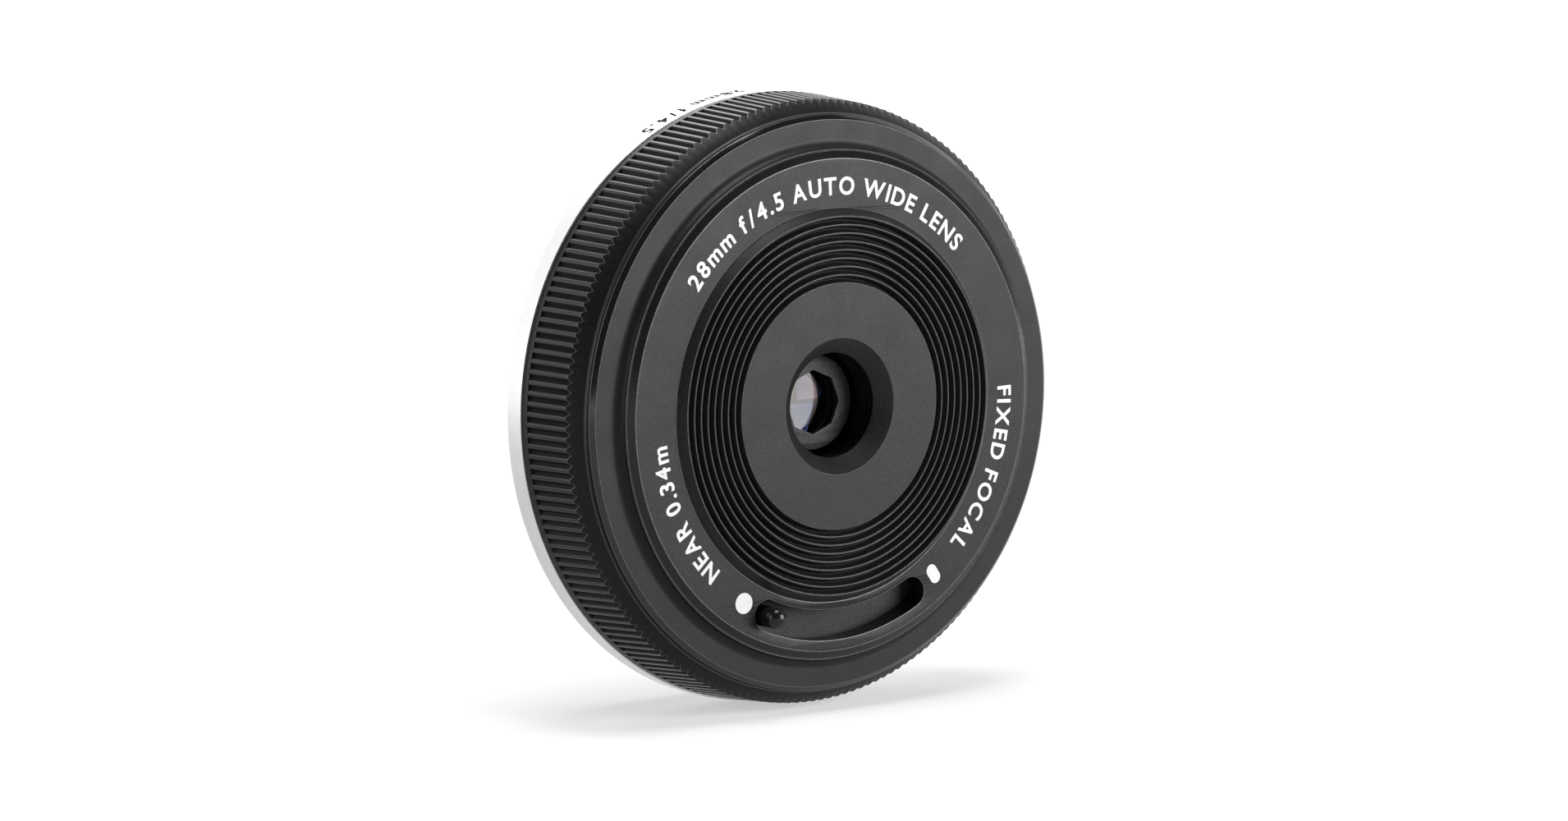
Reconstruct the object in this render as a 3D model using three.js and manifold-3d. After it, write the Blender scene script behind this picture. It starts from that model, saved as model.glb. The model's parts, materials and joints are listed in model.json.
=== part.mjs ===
// Pancake autofocus prime lens, 28 mm f/4.5, for a 17.7 mm flange-distance bayonet mount.
//
// Frame: millimetres, +Z up. The optical axis is the Y axis, the front of the lens faces -Y,
// and the mount flange plane is y = 0. The lens stands on its round barrel.
// A "depth" is a distance rearward from the front face of the cap, so y = depth - FLANGE_DEPTH.
// An "angle" is in degrees, anticlockwise from +X as seen from the front.

import * as THREE from 'three';
import { mergeVertices } from 'three/addons/utils/BufferGeometryUtils.js';
import Module from 'manifold-3d';

const wasm = await Module();
wasm.setup();

// ---------- driving dimensions ----------

const FLANGE_DEPTH = 15.3; // front face to mount flange
const BARREL_R = 30.15; // silver rear barrel, the widest part
const GRIP_R = 29.95; // crests of the knurled grip, where its taper ends
const GRIP_FRONT_R = 29.52; // crests at the front of the grip
const BEZEL_R = 27.55; // outer edge of the bezel face
const BEZEL_DEPTH = 2.2;
const NAME_INNER_R = 19.12; // flat lettered ring
const NAME_OUTER_R = 23.97;
const NAME_DEPTH = 0.774;
const NAME_CHAMFER_R = 24.7;
const NAME_CHAMFER_DEPTH = 1.2;
const RIB_OUTER_R = 18.45; // outermost of the concentric ribs
const DISC_R = 12.0; // plain centre of the cap
const RIB_COUNT = 8;
const GROOVE_DEEP = 0.45;
const RIB_CREST = 0.14;
const CAP_THICK = 1.44;
const MOUTH_R = 6.65; // conical light opening, front and rear radius
const THROAT_R = 5.12;

const TURN_SEGMENTS = 40; // facets of a large turned piece
const LENS_SEGMENTS = 20;
const CELL_SEGMENTS = 32;
const PIN_SEGMENTS = 12;
const GAP = 0.05; // assembly gap between fixed pieces
const FIT = 0.02; // gap of a close fit
const RUNNING = 0.08; // radial running clearance of a moving piece
const PAST = 1; // how far a cutting shape runs past the face it cuts
const SINK = 0.1; // how far a joined shape reaches into its neighbour

// front cover: a ring turned by the lever opens two blades
const LEVER_R = 21.5;
const LEVER_ANGLE = 247.2;
const LEVER_PIN_R = 1.04;
const LEVER_TRAVEL = 49.5; // degrees from open to closed
const SLOT_R = 21.4;
const SLOT_HALF_WIDTH = 1.5;
const BLADE_SWING = 22; // degrees
const BLADE_PIVOT_R = 15;
const BLADE_PIN_ARM = 5;
const BLADE_FRONT = 1.6; // depth
const BLADE_THICK = 0.3;
const BLADE_COVER_R = 6.3;
const BLADE_PIN_R = 0.5;
const PIVOT_PIN_R = 0.6;
const COVER_RING_FRONT = 3.25;
const COVER_RING_THICK = 0.75;
const COVER_RING_INNER_R = 12.2;
const COVER_RING_OUTER_R = 23.4;

// shutter plate behind the blades
const PLATE_FRONT = 2.1;
const PLATE_THICK = 0.5;
const PLATE_BORE_R = 5.3;
const COLLAR_R = 5.9;
const COLLAR_REAR = 4.3;

// main frame
const WALL_FRONT = 4.35; // front wall of the frame
const WALL_THICK = 0.7;
const FRAME_R = 27.8;
const FRAME_REAR = 11.85;
const CELL_BORE_R = 10.4;
const REAR_FRAME_FRONT = 11.9;
const REAR_FRAME_THICK = 0.55;

// focusing cell
const CELL_FRONT = 4.2;
const NOSE_R = 4.61;
const CELL_R = 9.6;
const CELL_STEP = 6.65; // depth where the nose widens to the body
const CELL_REAR = 15.5;
const APERTURE_R = 3.18; // corner radius of the octagonal stop
const APERTURE_SIDES = 8;
const STOP_THICK = 0.3;

// focus drive
const ROD_R = 0.6;
const ROD_CENTRE_R = 13.6;
const ROD_ANGLES = [60, 240];
const EAR_FRONT = 7.8;
const EAR_REAR = 10.4;
const COIL_INNER_X = 12.4;
const COIL_THICK = 1.0;
const COIL_FRONT = 7.5;
const COIL_REAR = 10.9;
const COIL_HALF_HEIGHT = 4.5;
const MAGNET_INNER_X = 13.8;
const MAGNET_THICK = 1.4;

// rear
const GRIP_REAR = 10.78;
const SILVER_FRONT = 10.84;
const SILVER_REAR = 13.1;
const FLANGE_R = 28.3;
const FLANGE_FRONT = 13.15;
const SPIGOT_OUTER_R = 20.7;
const SPIGOT_INNER_R = 19.6;
const SPIGOT_END = 4.2; // y
const CLAW_R = 22.0;
const CLAW_FRONT = 2.2; // y
const CLAW_REAR = 3.7; // y
const CLAW_ANGLES = [30, 150, 270];
const CLAW_SPAN = 46; // degrees
const MOUNT_SCREW_R = 24.7; // pitch radius
const MOUNT_SCREW_ANGLES = [45, 135, 225, 315];
const BAFFLE_FRONT = 1.2; // y
const BAFFLE_THICK = 0.8;
const WINDOW_WIDTH = 18;
const WINDOW_HEIGHT = 13;

// ---------- helpers ----------

const rad = (degrees) => (degrees * Math.PI) / 180;
const yAt = (depth) => depth - FLANGE_DEPTH;
const polar = (radius, angle) => [radius * Math.cos(rad(angle)), radius * Math.sin(rad(angle))];

// Turn [x, z] anticlockwise about a centre, as seen from the front.
function turnPoint([x, z], angle, [cx, cz] = [0, 0]) {
  const c = Math.cos(rad(angle));
  const s = Math.sin(rad(angle));
  return [cx + c * (x - cx) - s * (z - cz), cz + s * (x - cx) + c * (z - cz)];
}

function signedVolume(geometry) {
  const p = geometry.attributes.position;
  const order = geometry.index.array;
  const corner = [new THREE.Vector3(), new THREE.Vector3(), new THREE.Vector3()];
  let volume = 0;
  for (let i = 0; i < order.length; i += 3) {
    corner.forEach((v, k) => v.fromBufferAttribute(p, order[i + k]));
    volume += corner[0].dot(corner[1].clone().cross(corner[2])) / 6;
  }
  return volume;
}

// Merge shared corners, drop empty triangles and make every face point outwards.
function tidy(source) {
  const geometry = source.clone();
  geometry.deleteAttribute('normal');
  geometry.deleteAttribute('uv');
  const merged = mergeVertices(geometry, 1e-5);
  const order = merged.index.array;
  const kept = [];
  for (let i = 0; i < order.length; i += 3) {
    const [a, b, c] = [order[i], order[i + 1], order[i + 2]];
    if (a !== b && b !== c && c !== a) kept.push(a, b, c);
  }
  merged.setIndex(kept);
  if (signedVolume(merged) < 0) {
    for (let i = 0; i < kept.length; i += 3) [kept[i + 1], kept[i + 2]] = [kept[i + 2], kept[i + 1]];
    merged.setIndex(kept);
  }
  return merged;
}

function toSolid(geometry) {
  const g = tidy(geometry);
  return new wasm.Manifold(new wasm.Mesh({
    numProp: 3,
    vertProperties: new Float32Array(g.attributes.position.array),
    triVerts: new Uint32Array(g.index.array),
  }));
}

function fromSolid(solid) {
  const mesh = solid.getMesh();
  const g = new THREE.BufferGeometry();
  g.setAttribute('position', new THREE.BufferAttribute(new Float32Array(mesh.vertProperties), 3));
  g.setIndex(Array.from(mesh.triVerts));
  return g;
}

// Join the first list of geometries, then cut the second list away.
function shaped(joined, cuts = []) {
  let solid = toSolid(joined[0]);
  for (const g of joined.slice(1)) solid = solid.add(toSolid(g));
  for (const g of cuts) solid = solid.subtract(toSolid(g));
  return fromSolid(solid);
}

// A piece turned about the optical axis. The profile is [radius, depth] pairs; it closes on
// itself, or starts and ends on the axis. The flats of the facets lie at the stated radii.
function turned(profile, segments = TURN_SEGMENTS) {
  const flats = 1 / Math.cos(Math.PI / segments);
  const points = profile.map(([r, d]) => new THREE.Vector2(r * flats, yAt(d)));
  const onAxis = profile[0][0] === 0 && profile[profile.length - 1][0] === 0;
  if (!onAxis) points.push(points[0].clone());
  return tidy(new THREE.LatheGeometry(points, segments, Math.PI / segments));
}

const ringProfile = (inner, outer, front, rear) => [
  [inner, front], [outer, front], [outer, rear], [inner, rear],
];

// A flat plate whose outline is [x, z] points, between two depths.
function plate(outline, front, rear, holes = []) {
  const shape = new THREE.Shape(outline.map(([x, z]) => new THREE.Vector2(x, z)));
  for (const hole of holes) {
    shape.holes.push(new THREE.Path(hole.map(([x, z]) => new THREE.Vector2(x, z))));
  }
  const depth = rear - front;
  const g = new THREE.ExtrudeGeometry(shape, { depth, bevelEnabled: false, curveSegments: 1 });
  g.rotateX(Math.PI / 2);
  g.translate(0, yAt(rear), 0);
  return tidy(g);
}

// A round bar parallel to the optical axis, centred on [x, z].
function bar([x, z], radius, front, rear, segments = PIN_SEGMENTS) {
  const g = new THREE.CylinderGeometry(radius, radius, rear - front, segments);
  g.translate(x, yAt((front + rear) / 2), z);
  return tidy(g);
}

function block(x0, x1, front, rear, z0, z1) {
  const g = new THREE.BoxGeometry(x1 - x0, rear - front, z1 - z0);
  g.translate((x0 + x1) / 2, yAt((front + rear) / 2), (z0 + z1) / 2);
  return tidy(g);
}

// Outline of a round-ended slot along a list of centre-line points.
function slotOutline(centre, halfWidth, endSteps = 6) {
  const direction = (i) => {
    const a = centre[Math.max(i - 1, 0)];
    const b = centre[Math.min(i + 1, centre.length - 1)];
    return Math.atan2(b[1] - a[1], b[0] - a[0]);
  };
  const offset = ([x, z], heading) => [
    x + halfWidth * Math.cos(heading), z + halfWidth * Math.sin(heading),
  ];
  const outline = [];
  centre.forEach((p, i) => outline.push(offset(p, direction(i) - Math.PI / 2)));
  const last = centre.length - 1;
  for (let k = 1; k < endSteps; k++) {
    outline.push(offset(centre[last], direction(last) - Math.PI / 2 + (Math.PI * k) / endSteps));
  }
  for (let i = last; i >= 0; i--) outline.push(offset(centre[i], direction(i) + Math.PI / 2));
  for (let k = 1; k < endSteps; k++) {
    outline.push(offset(centre[0], direction(0) + Math.PI / 2 + (Math.PI * k) / endSteps));
  }
  return outline;
}

function arcPoints(radius, from, to, steps, centre = [0, 0]) {
  const points = [];
  for (let i = 0; i <= steps; i++) {
    const [x, z] = polar(radius, from + ((to - from) * i) / steps);
    points.push([centre[0] + x, centre[1] + z]);
  }
  return points;
}

// A sector of a flat ring.
const sectorOutline = (inner, outer, from, to, steps) => [
  ...arcPoints(outer, from, to, steps), ...arcPoints(inner, to, from, steps),
];

// A screw on an axis parallel to Y: its shank runs forward from the head to shankEnd.
function screw([x, z], { headR, headFront, headRear, shankR, shankEnd }) {
  const g = turned([
    [0, shankEnd], [shankR, shankEnd], [shankR, headFront],
    [headR, headFront], [headR, headRear], [0, headRear],
  ], PIN_SEGMENTS);
  g.translate(x, 0, z);
  return g;
}

// ---------- materials ----------

function finish(color, roughness, metalness) {
  return new THREE.MeshStandardMaterial({ color, roughness, metalness });
}
const blackAnodised = () => finish(0x2b2b2d, 0.6, 0.6);
const blackPlastic = () => finish(0x161617, 0.7, 0.0);
const silver = () => finish(0xd9dadb, 0.35, 0.9);
const steel = () => finish(0xb9bbbe, 0.3, 1.0);
const gold = () => finish(0xd9b25a, 0.3, 1.0);
const copper = () => finish(0xb8703c, 0.4, 0.9);
const magnetGrey = () => finish(0x8a8c90, 0.35, 0.9);
const boardGreen = () => finish(0x1f4d33, 0.6, 0.0);
const amber = () => finish(0xa8672a, 0.5, 0.0);
const ruby = () => finish(0xb3202a, 0.4, 0.0);
const glass = () => new THREE.MeshStandardMaterial({
  color: 0x9fb4c8, roughness: 0.05, metalness: 0, transparent: true, opacity: 0.35,
});

const lens = new THREE.Group();
function addPiece(name, geometry, material) {
  const g = geometry.clone();
  g.computeVertexNormals();
  const mesh = new THREE.Mesh(g, material);
  mesh.name = name;
  lens.add(mesh);
}

// ---------- front cap: plain disc, concentric ribs, conical mouth ----------

const CAP_SCREW_R = 16.5;
const CAP_SCREW_ANGLES = [90, 210, 330];
const CAP_SCREW_HOLE_R = 0.55;

function frontCapProfile() {
  const pitch = (RIB_OUTER_R - DISC_R) / RIB_COUNT;
  const face = [[THROAT_R, CAP_THICK], [MOUTH_R, 0], [DISC_R, 0]];
  for (let i = 0; i < RIB_COUNT; i++) {
    const start = DISC_R + i * pitch;
    face.push([start + (pitch - RIB_CREST) / 2, GROOVE_DEEP], [start + pitch - RIB_CREST, 0]);
    face.push([start + pitch, 0]);
  }
  face.push([NAME_INNER_R - GAP, NAME_DEPTH - GAP], [NAME_INNER_R - GAP, CAP_THICK]);
  return face;
}

// The same round hole at each of a list of angles on one pitch circle.
const holeCircle = (pitchR, angles, radius, front, rear) => angles.map(
  (a) => bar(polar(pitchR, a), radius, front, rear),
);
const capScrewHoles = (front, rear) => holeCircle(
  CAP_SCREW_R, CAP_SCREW_ANGLES, CAP_SCREW_HOLE_R, front, rear,
);
const CAP_HOLE_END = 0.75;
addPiece('front_cap', shaped(
  [turned(frontCapProfile())], capScrewHoles(CAP_HOLE_END, CAP_THICK + PAST),
), blackAnodised());

// ---------- name ring with the arc slot for the lever ----------

const NAME_REAR = 2.9;
const SLOT_STEPS = 14;
const slotCentre = arcPoints(SLOT_R, LEVER_ANGLE, LEVER_ANGLE + LEVER_TRAVEL, SLOT_STEPS);
addPiece('name_ring', shaped(
  [turned([
    [NAME_INNER_R, NAME_DEPTH], [NAME_OUTER_R, NAME_DEPTH], [NAME_CHAMFER_R, NAME_CHAMFER_DEPTH],
    [NAME_CHAMFER_R, NAME_REAR], [NAME_INNER_R, NAME_REAR],
  ])],
  [plate(slotOutline(slotCentre, SLOT_HALF_WIDTH), NAME_DEPTH - PAST, NAME_REAR + PAST)],
), blackAnodised());

// ---------- bezel ring: coved inner edge, flat face, bevelled outer edge ----------

const COVE_LAND = 0.12; // narrow flat between the bore and the cove
const COVE_START_R = NAME_CHAMFER_R + COVE_LAND;
const COVE_RADIUS = BEZEL_DEPTH - NAME_CHAMFER_DEPTH;
const BEZEL_REAR = 4.3;
const BEZEL_SHELF_R = 23.75;
const BEZEL_SHELF_FRONT = 2.95;
const BEZEL_BEVEL_R = 28.0;
const BEZEL_BEVEL_DEPTH = 2.75;
const FRONT_SCREW_R = 25.6;
const FRONT_SCREW_ANGLES = [90, 210, 330];

function bezelProfile() {
  const cove = [];
  const steps = 4;
  for (let i = 0; i <= steps; i++) {
    const a = (Math.PI / 2) * (i / steps);
    cove.push([
      COVE_START_R + COVE_RADIUS * (1 - Math.cos(a)),
      NAME_CHAMFER_DEPTH + COVE_RADIUS * Math.sin(a),
    ]);
  }
  return [
    [NAME_CHAMFER_R + GAP, NAME_CHAMFER_DEPTH], ...cove,
    [BEZEL_R, BEZEL_DEPTH], [BEZEL_BEVEL_R, BEZEL_BEVEL_DEPTH], [BEZEL_BEVEL_R, BEZEL_REAR],
    [BEZEL_SHELF_R, BEZEL_REAR], [BEZEL_SHELF_R, BEZEL_SHELF_FRONT],
    [NAME_CHAMFER_R + GAP, BEZEL_SHELF_FRONT],
  ];
}
const FRONT_HOLE_END = 3.2;
const FRONT_SCREW_HOLE_R = 0.62;
const frontScrewHoles = (front, rear) => holeCircle(
  FRONT_SCREW_R, FRONT_SCREW_ANGLES, FRONT_SCREW_HOLE_R, front, rear,
);
addPiece('bezel_ring', shaped(
  [turned(bezelProfile())], frontScrewHoles(FRONT_HOLE_END, BEZEL_REAR + PAST),
), blackAnodised());

// ---------- knurled grip barrel ----------

const CONE_INNER_R = 28.12;
const CONE_INNER_DEPTH = 3.1;
const CONE_OUTER_DEPTH = 4.52;
const TAPER_REAR = 10.0;
addPiece('grip_barrel', turned([
  [CONE_INNER_R, CONE_INNER_DEPTH], [GRIP_FRONT_R, CONE_OUTER_DEPTH], [GRIP_R, TAPER_REAR],
  [GRIP_R, GRIP_REAR], [CONE_INNER_R, GRIP_REAR],
]), blackAnodised());

// ---------- front cover: ring, lever pin, two blades and their pins ----------

const RATIO = BLADE_SWING / LEVER_TRAVEL;
const coverSides = [
  { side: 'upper', turn: 0 },
  { side: 'lower', turn: 180 },
];
const pivot = [BLADE_PIVOT_R, 0];
const closedPin = [BLADE_PIVOT_R, BLADE_PIN_ARM];

// Where a blade's pin is once the ring has turned by an angle, in the ring's own frame.
function camPoint(angle) {
  const openPin = turnPoint(closedPin, -BLADE_SWING, pivot);
  return turnPoint(turnPoint(openPin, angle * RATIO, pivot), -angle);
}
const CAM_STEPS = 16;
const camSlot = Array.from(
  { length: CAM_STEPS + 1 }, (_, i) => camPoint((LEVER_TRAVEL * i) / CAM_STEPS),
);
const turnedOutline = (outline, angle, centre) => outline.map((p) => turnPoint(p, angle, centre));
const ringRear = COVER_RING_FRONT + COVER_RING_THICK;

addPiece('cover_ring', shaped(
  [turned(ringProfile(COVER_RING_INNER_R, COVER_RING_OUTER_R, COVER_RING_FRONT, ringRear))],
  coverSides.map(({ turn }) => plate(
    turnedOutline(slotOutline(camSlot, BLADE_PIN_R + RUNNING, 4), turn),
    COVER_RING_FRONT - PAST, ringRear + PAST,
  )),
), blackPlastic());

const DOME_CENTRE = -0.62; // depth
const leverRear = COVER_RING_FRONT - 0.01; // its foot is bonded to the cover ring
function leverPin() {
  const profile = [[0, DOME_CENTRE - LEVER_PIN_R]];
  const steps = 4;
  for (let i = 1; i <= steps; i++) {
    const a = (Math.PI / 2) * (i / steps);
    profile.push([LEVER_PIN_R * Math.sin(a), DOME_CENTRE - LEVER_PIN_R * Math.cos(a)]);
  }
  profile.push([LEVER_PIN_R, leverRear], [0, leverRear]);
  const g = turned(profile, 16);
  const [x, z] = polar(LEVER_R, LEVER_ANGLE);
  g.translate(x, 0, z);
  return g;
}
addPiece('lever_pin', leverPin(), steel());

// Blade in its closed place: half a disc over the mouth, an arm to the pivot, a tail to the pin.
function bladeOutline() {
  const split = 0.05; // half the gap between the closed blades
  const bossR = 1.8;
  const tailR = 1.2;
  const neck = [[12.6, 3.2], [7.5, 4.4]];
  return [
    [-BLADE_COVER_R, split],
    [BLADE_PIVOT_R - bossR, split],
    ...arcPoints(bossR, 200, 360, 6, pivot),
    [BLADE_PIVOT_R + tailR, BLADE_PIN_ARM],
    ...arcPoints(tailR, 30, 180, 4, closedPin),
    ...neck,
    ...arcPoints(BLADE_COVER_R, 55, 170, 8),
  ];
}
const bladeRear = BLADE_FRONT + BLADE_THICK;
const pinRear = ringRear - GAP;
const PIVOT_FRONT = 1.5;
for (const { side, turn } of coverSides) {
  const place = (p) => turnPoint(turnPoint(p, -BLADE_SWING, pivot), turn);
  const hole = arcPoints(PIVOT_PIN_R + RUNNING, 0, 337.5, 15, pivot);
  addPiece(`cover_blade_${side}`, plate(
    bladeOutline().map(place), BLADE_FRONT, bladeRear, [hole.map(place)],
  ), blackPlastic());
  addPiece(`blade_pin_${side}`, bar(place(closedPin), BLADE_PIN_R, bladeRear, pinRear), steel());
  addPiece(`pivot_pin_${side}`, bar(
    turnPoint(pivot, turn), PIVOT_PIN_R, PIVOT_FRONT, PLATE_FRONT + PLATE_THICK,
  ), steel());
}

// ---------- shutter plate: carries the pivots, stands off the cap on three pads ----------

const PLATE_OUTER_R = 18.95;
const plateRear = PLATE_FRONT + PLATE_THICK;
const PAD_R = 1.4;
const PIN_SWEEP_CLEARANCE = 0.25;
const pinSweep = arcPoints(BLADE_PIN_ARM, 90 - BLADE_SWING, 90, 4, pivot);
const sweepOutline = slotOutline(pinSweep, BLADE_PIN_R + PIN_SWEEP_CLEARANCE, 4);
addPiece('shutter_plate', shaped(
  [
    turned([
      [PLATE_BORE_R, PLATE_FRONT], [PLATE_OUTER_R, PLATE_FRONT], [PLATE_OUTER_R, plateRear],
      [COLLAR_R, plateRear], [COLLAR_R, COLLAR_REAR], [PLATE_BORE_R, COLLAR_REAR],
    ]),
    ...holeCircle(CAP_SCREW_R, CAP_SCREW_ANGLES, PAD_R, CAP_THICK + GAP, PLATE_FRONT + SINK),
  ],
  [
    ...capScrewHoles(0, plateRear + PAST),
    ...coverSides.map(({ turn }) => plate(
      turnedOutline(sweepOutline, turn), PLATE_FRONT - PAST, plateRear + PAST,
    )),
    ...coverSides.map(({ turn }) => bar(
      turnPoint(pivot, turn), PIVOT_PIN_R + FIT, PLATE_FRONT - PAST, plateRear + PAST,
    )),
  ],
), blackPlastic());

const capScrew = {
  headR: 1.1, headFront: plateRear + FIT, headRear: 3.08, shankR: 0.48, shankEnd: CAP_HOLE_END + 0.1,
};
CAP_SCREW_ANGLES.forEach((a, i) => addPiece(
  `cap_screw_${i + 1}`, screw(polar(CAP_SCREW_R, a), capScrew), steel(),
));

// ---------- detent leaf spring under the cover ring ----------

const DETENT_ANGLE = 120;
const DETENT_R = 20.5;
const DETENT_HALF_SPAN = 16; // degrees
const DETENT_HALF_WIDTH = 1.0;
const DETENT_BEAD_R = 0.45;
const detentCentre = arcPoints(
  DETENT_R, DETENT_ANGLE - DETENT_HALF_SPAN, DETENT_ANGLE + DETENT_HALF_SPAN, 5,
);
addPiece('detent_spring', shaped([
  plate(slotOutline(detentCentre, DETENT_HALF_WIDTH, 4), ringRear + 0.15, ringRear + 0.3),
  bar(polar(DETENT_R, DETENT_ANGLE), DETENT_BEAD_R, ringRear + 0.04, ringRear + 0.2, 8),
]), steel());

// ---------- main frame ----------

const wallRear = WALL_FRONT + WALL_THICK;
const HUB_R = COVER_RING_INNER_R - 0.1;
const HUB_FRONT = 3.2;
const POST_R = 1.9;
const MOUNT_SCREW_HOLE_R = 0.9;
const ROD_FRONT = 4.6;
const ROD_REAR = 12.2;
const FRAME_WALL_R = 26.7;
const POST_HOLE_FRONT = 9; // depth where the screw hole in each post begins
const mountScrewHoles = (front, rear) => holeCircle(
  MOUNT_SCREW_R, MOUNT_SCREW_ANGLES, MOUNT_SCREW_HOLE_R, front, rear,
);
const rodHoles = (radius, front, rear) => holeCircle(ROD_CENTRE_R, ROD_ANGLES, radius, front, rear);
addPiece('main_frame', shaped(
  [
    turned([
      [CELL_BORE_R, HUB_FRONT], [HUB_R, HUB_FRONT], [HUB_R, WALL_FRONT], [FRAME_R, WALL_FRONT],
      [FRAME_R, FRAME_REAR], [FRAME_WALL_R, FRAME_REAR], [FRAME_WALL_R, wallRear], [CELL_BORE_R, wallRear],
    ]),
    ...holeCircle(MOUNT_SCREW_R, MOUNT_SCREW_ANGLES, POST_R, wallRear - SINK, FRAME_REAR),
  ],
  [
    ...rodHoles(ROD_R + FIT, WALL_FRONT - PAST, wallRear + PAST),
    ...frontScrewHoles(WALL_FRONT - PAST, wallRear + PAST),
    ...mountScrewHoles(POST_HOLE_FRONT, FRAME_REAR + PAST),
  ],
), blackPlastic());

const frontScrew = {
  headR: 0.85, headFront: wallRear + FIT, headRear: 5.7, shankR: 0.55, shankEnd: FRONT_HOLE_END + 0.2,
};
FRONT_SCREW_ANGLES.forEach((a, i) => addPiece(
  `front_screw_${i + 1}`, screw(polar(FRONT_SCREW_R, a), frontScrew), steel(),
));

// ---------- focusing cell: stop, six elements, spacers, retaining ring ----------

const nose = CELL_FRONT + STOP_THICK + FIT;
const BORE_FRONT_R = 3.75;
const BORE_MID_R = 5.3;
const BORE_WIDE_R = 7.05;
const BORE_REAR_R = 8.35;
const MID_STEP = 9.45;
const WIDE_STEP = 10.75;
const REAR_STEP = 12.5;
const cellProfile = [
  [BORE_FRONT_R, nose], [NOSE_R, nose], [NOSE_R, CELL_STEP], [CELL_R, CELL_STEP], [CELL_R, CELL_REAR],
  [BORE_REAR_R, CELL_REAR], [BORE_REAR_R, REAR_STEP], [BORE_WIDE_R, REAR_STEP], [BORE_WIDE_R, WIDE_STEP],
  [BORE_MID_R, WIDE_STEP], [BORE_MID_R, MID_STEP], [BORE_FRONT_R, MID_STEP],
];
const ARM_FRONT = 8.2;
const ARM_REAR = 10.2;
const ARM_HALF_HEIGHT = 3.4;
const EAR_HALF_WIDTH = 1.7;
const ARM_ROOT = 0.6; // how far an ear or arm reaches into the cell's wall
function ear(angle) {
  const line = [polar(CELL_R - ARM_ROOT, angle), polar(ROD_CENTRE_R, angle)];
  return plate(slotOutline(line, EAR_HALF_WIDTH, 6), EAR_FRONT, EAR_REAR);
}
const armStart = CELL_R - ARM_ROOT;
const armEnd = COIL_INNER_X - FIT;
addPiece('focus_cell', shaped(
  [
    turned(cellProfile, CELL_SEGMENTS),
    ...ROD_ANGLES.map(ear),
    block(armStart, armEnd, ARM_FRONT, ARM_REAR, -ARM_HALF_HEIGHT, ARM_HALF_HEIGHT),
    block(-armEnd, -armStart, ARM_FRONT, ARM_REAR, -ARM_HALF_HEIGHT, ARM_HALF_HEIGHT),
  ],
  rodHoles(ROD_R + RUNNING, EAR_FRONT - PAST, EAR_REAR + PAST),
), blackAnodised());

const octagon = arcPoints(APERTURE_R, 0, 360 - 360 / APERTURE_SIDES, APERTURE_SIDES - 1);
addPiece('aperture_plate', plate(
  arcPoints(NOSE_R, 0, 360 - 360 / CELL_SEGMENTS, CELL_SEGMENTS - 1),
  CELL_FRONT, CELL_FRONT + STOP_THICK, [octagon],
), blackAnodised());

// Depth of a spherical surface at a height; a positive curve has its centre behind the surface.
const surfaceDepth = (vertex, curve, height) => vertex
  + Math.sign(curve) * (Math.abs(curve) - Math.sqrt(curve * curve - height * height));

function element({ radius, front, frontCurve, rear, rearCurve }) {
  const steps = 3;
  const heights = Array.from({ length: steps + 1 }, (_, i) => (radius * i) / steps);
  const frontSide = heights.map((h) => [h, surfaceDepth(front, frontCurve, h)]);
  const rearSide = heights.map((h) => [h, surfaceDepth(rear, rearCurve, h)]).reverse();
  return turned([...frontSide, ...rearSide], LENS_SEGMENTS);
}

// Vertex depths and surface curves of the six elements, front to rear.
const elements = [
  { radius: 3.68, front: 4.7, frontCurve: 9, rear: 5.85, rearCurve: 16 },
  { radius: 3.68, front: 7.2, frontCurve: -14, rear: 7.6, rearCurve: 18 },
  { radius: 3.68, front: 8.25, frontCurve: 40, rear: 9.35, rearCurve: -12 },
  { radius: 5.2, front: 10.15, frontCurve: -22, rear: 11.3, rearCurve: -13 },
  { radius: 6.95, front: 11.7, frontCurve: -30, rear: 12.95, rearCurve: -18 },
  { radius: 8.22, front: 14.85, frontCurve: -16, rear: 15.35, rearCurve: -60 },
];
elements.forEach((e, i) => addPiece(`lens_element_${i + 1}`, element(e), glass()));

// Spacer rings stand between the edges of neighbouring elements.
const spacers = [
  { inner: 3.3, outer: 3.66, front: 6.33, rear: 6.66 },
  { inner: 3.3, outer: 3.66, front: 8.03, rear: 8.33 },
  { inner: 4.8, outer: 5.18, front: 10.44, rear: 11.15 },
  { inner: 6.6, outer: 6.93, front: 11.78, rear: 13.2 },
];
spacers.forEach(({ inner, outer, front, rear }, i) => addPiece(
  `spacer_ring_${i + 1}`, turned(ringProfile(inner, outer, front, rear), LENS_SEGMENTS), blackPlastic(),
));

const RETAINER_INNER_R = 7.4;
const RETAINER_FRONT = 14.97;
addPiece('cell_retaining_ring', turned(
  ringProfile(RETAINER_INNER_R, BORE_REAR_R - GAP, RETAINER_FRONT, CELL_REAR - FIT), CELL_SEGMENTS,
), blackAnodised());

// ---------- focus drive: guide rods, two voice coils, position sensor ----------

ROD_ANGLES.forEach((a, i) => addPiece(
  `guide_rod_${['upper', 'lower'][i]}`, bar(polar(ROD_CENTRE_R, a), ROD_R, ROD_FRONT, ROD_REAR), steel(),
));

const COIL_WIRE_WIDTH = 1.0; // width of one side of the winding
const MAGNET_FRONT = 5.7;
const MAGNET_REAR = 11.4;
const MAGNET_HALF_HEIGHT = 5.0;
const YOKE_THICK = 0.85;
const YOKE_INNER_X = 11.7;
const YOKE_HALF_HEIGHT = 6.2;

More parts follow.
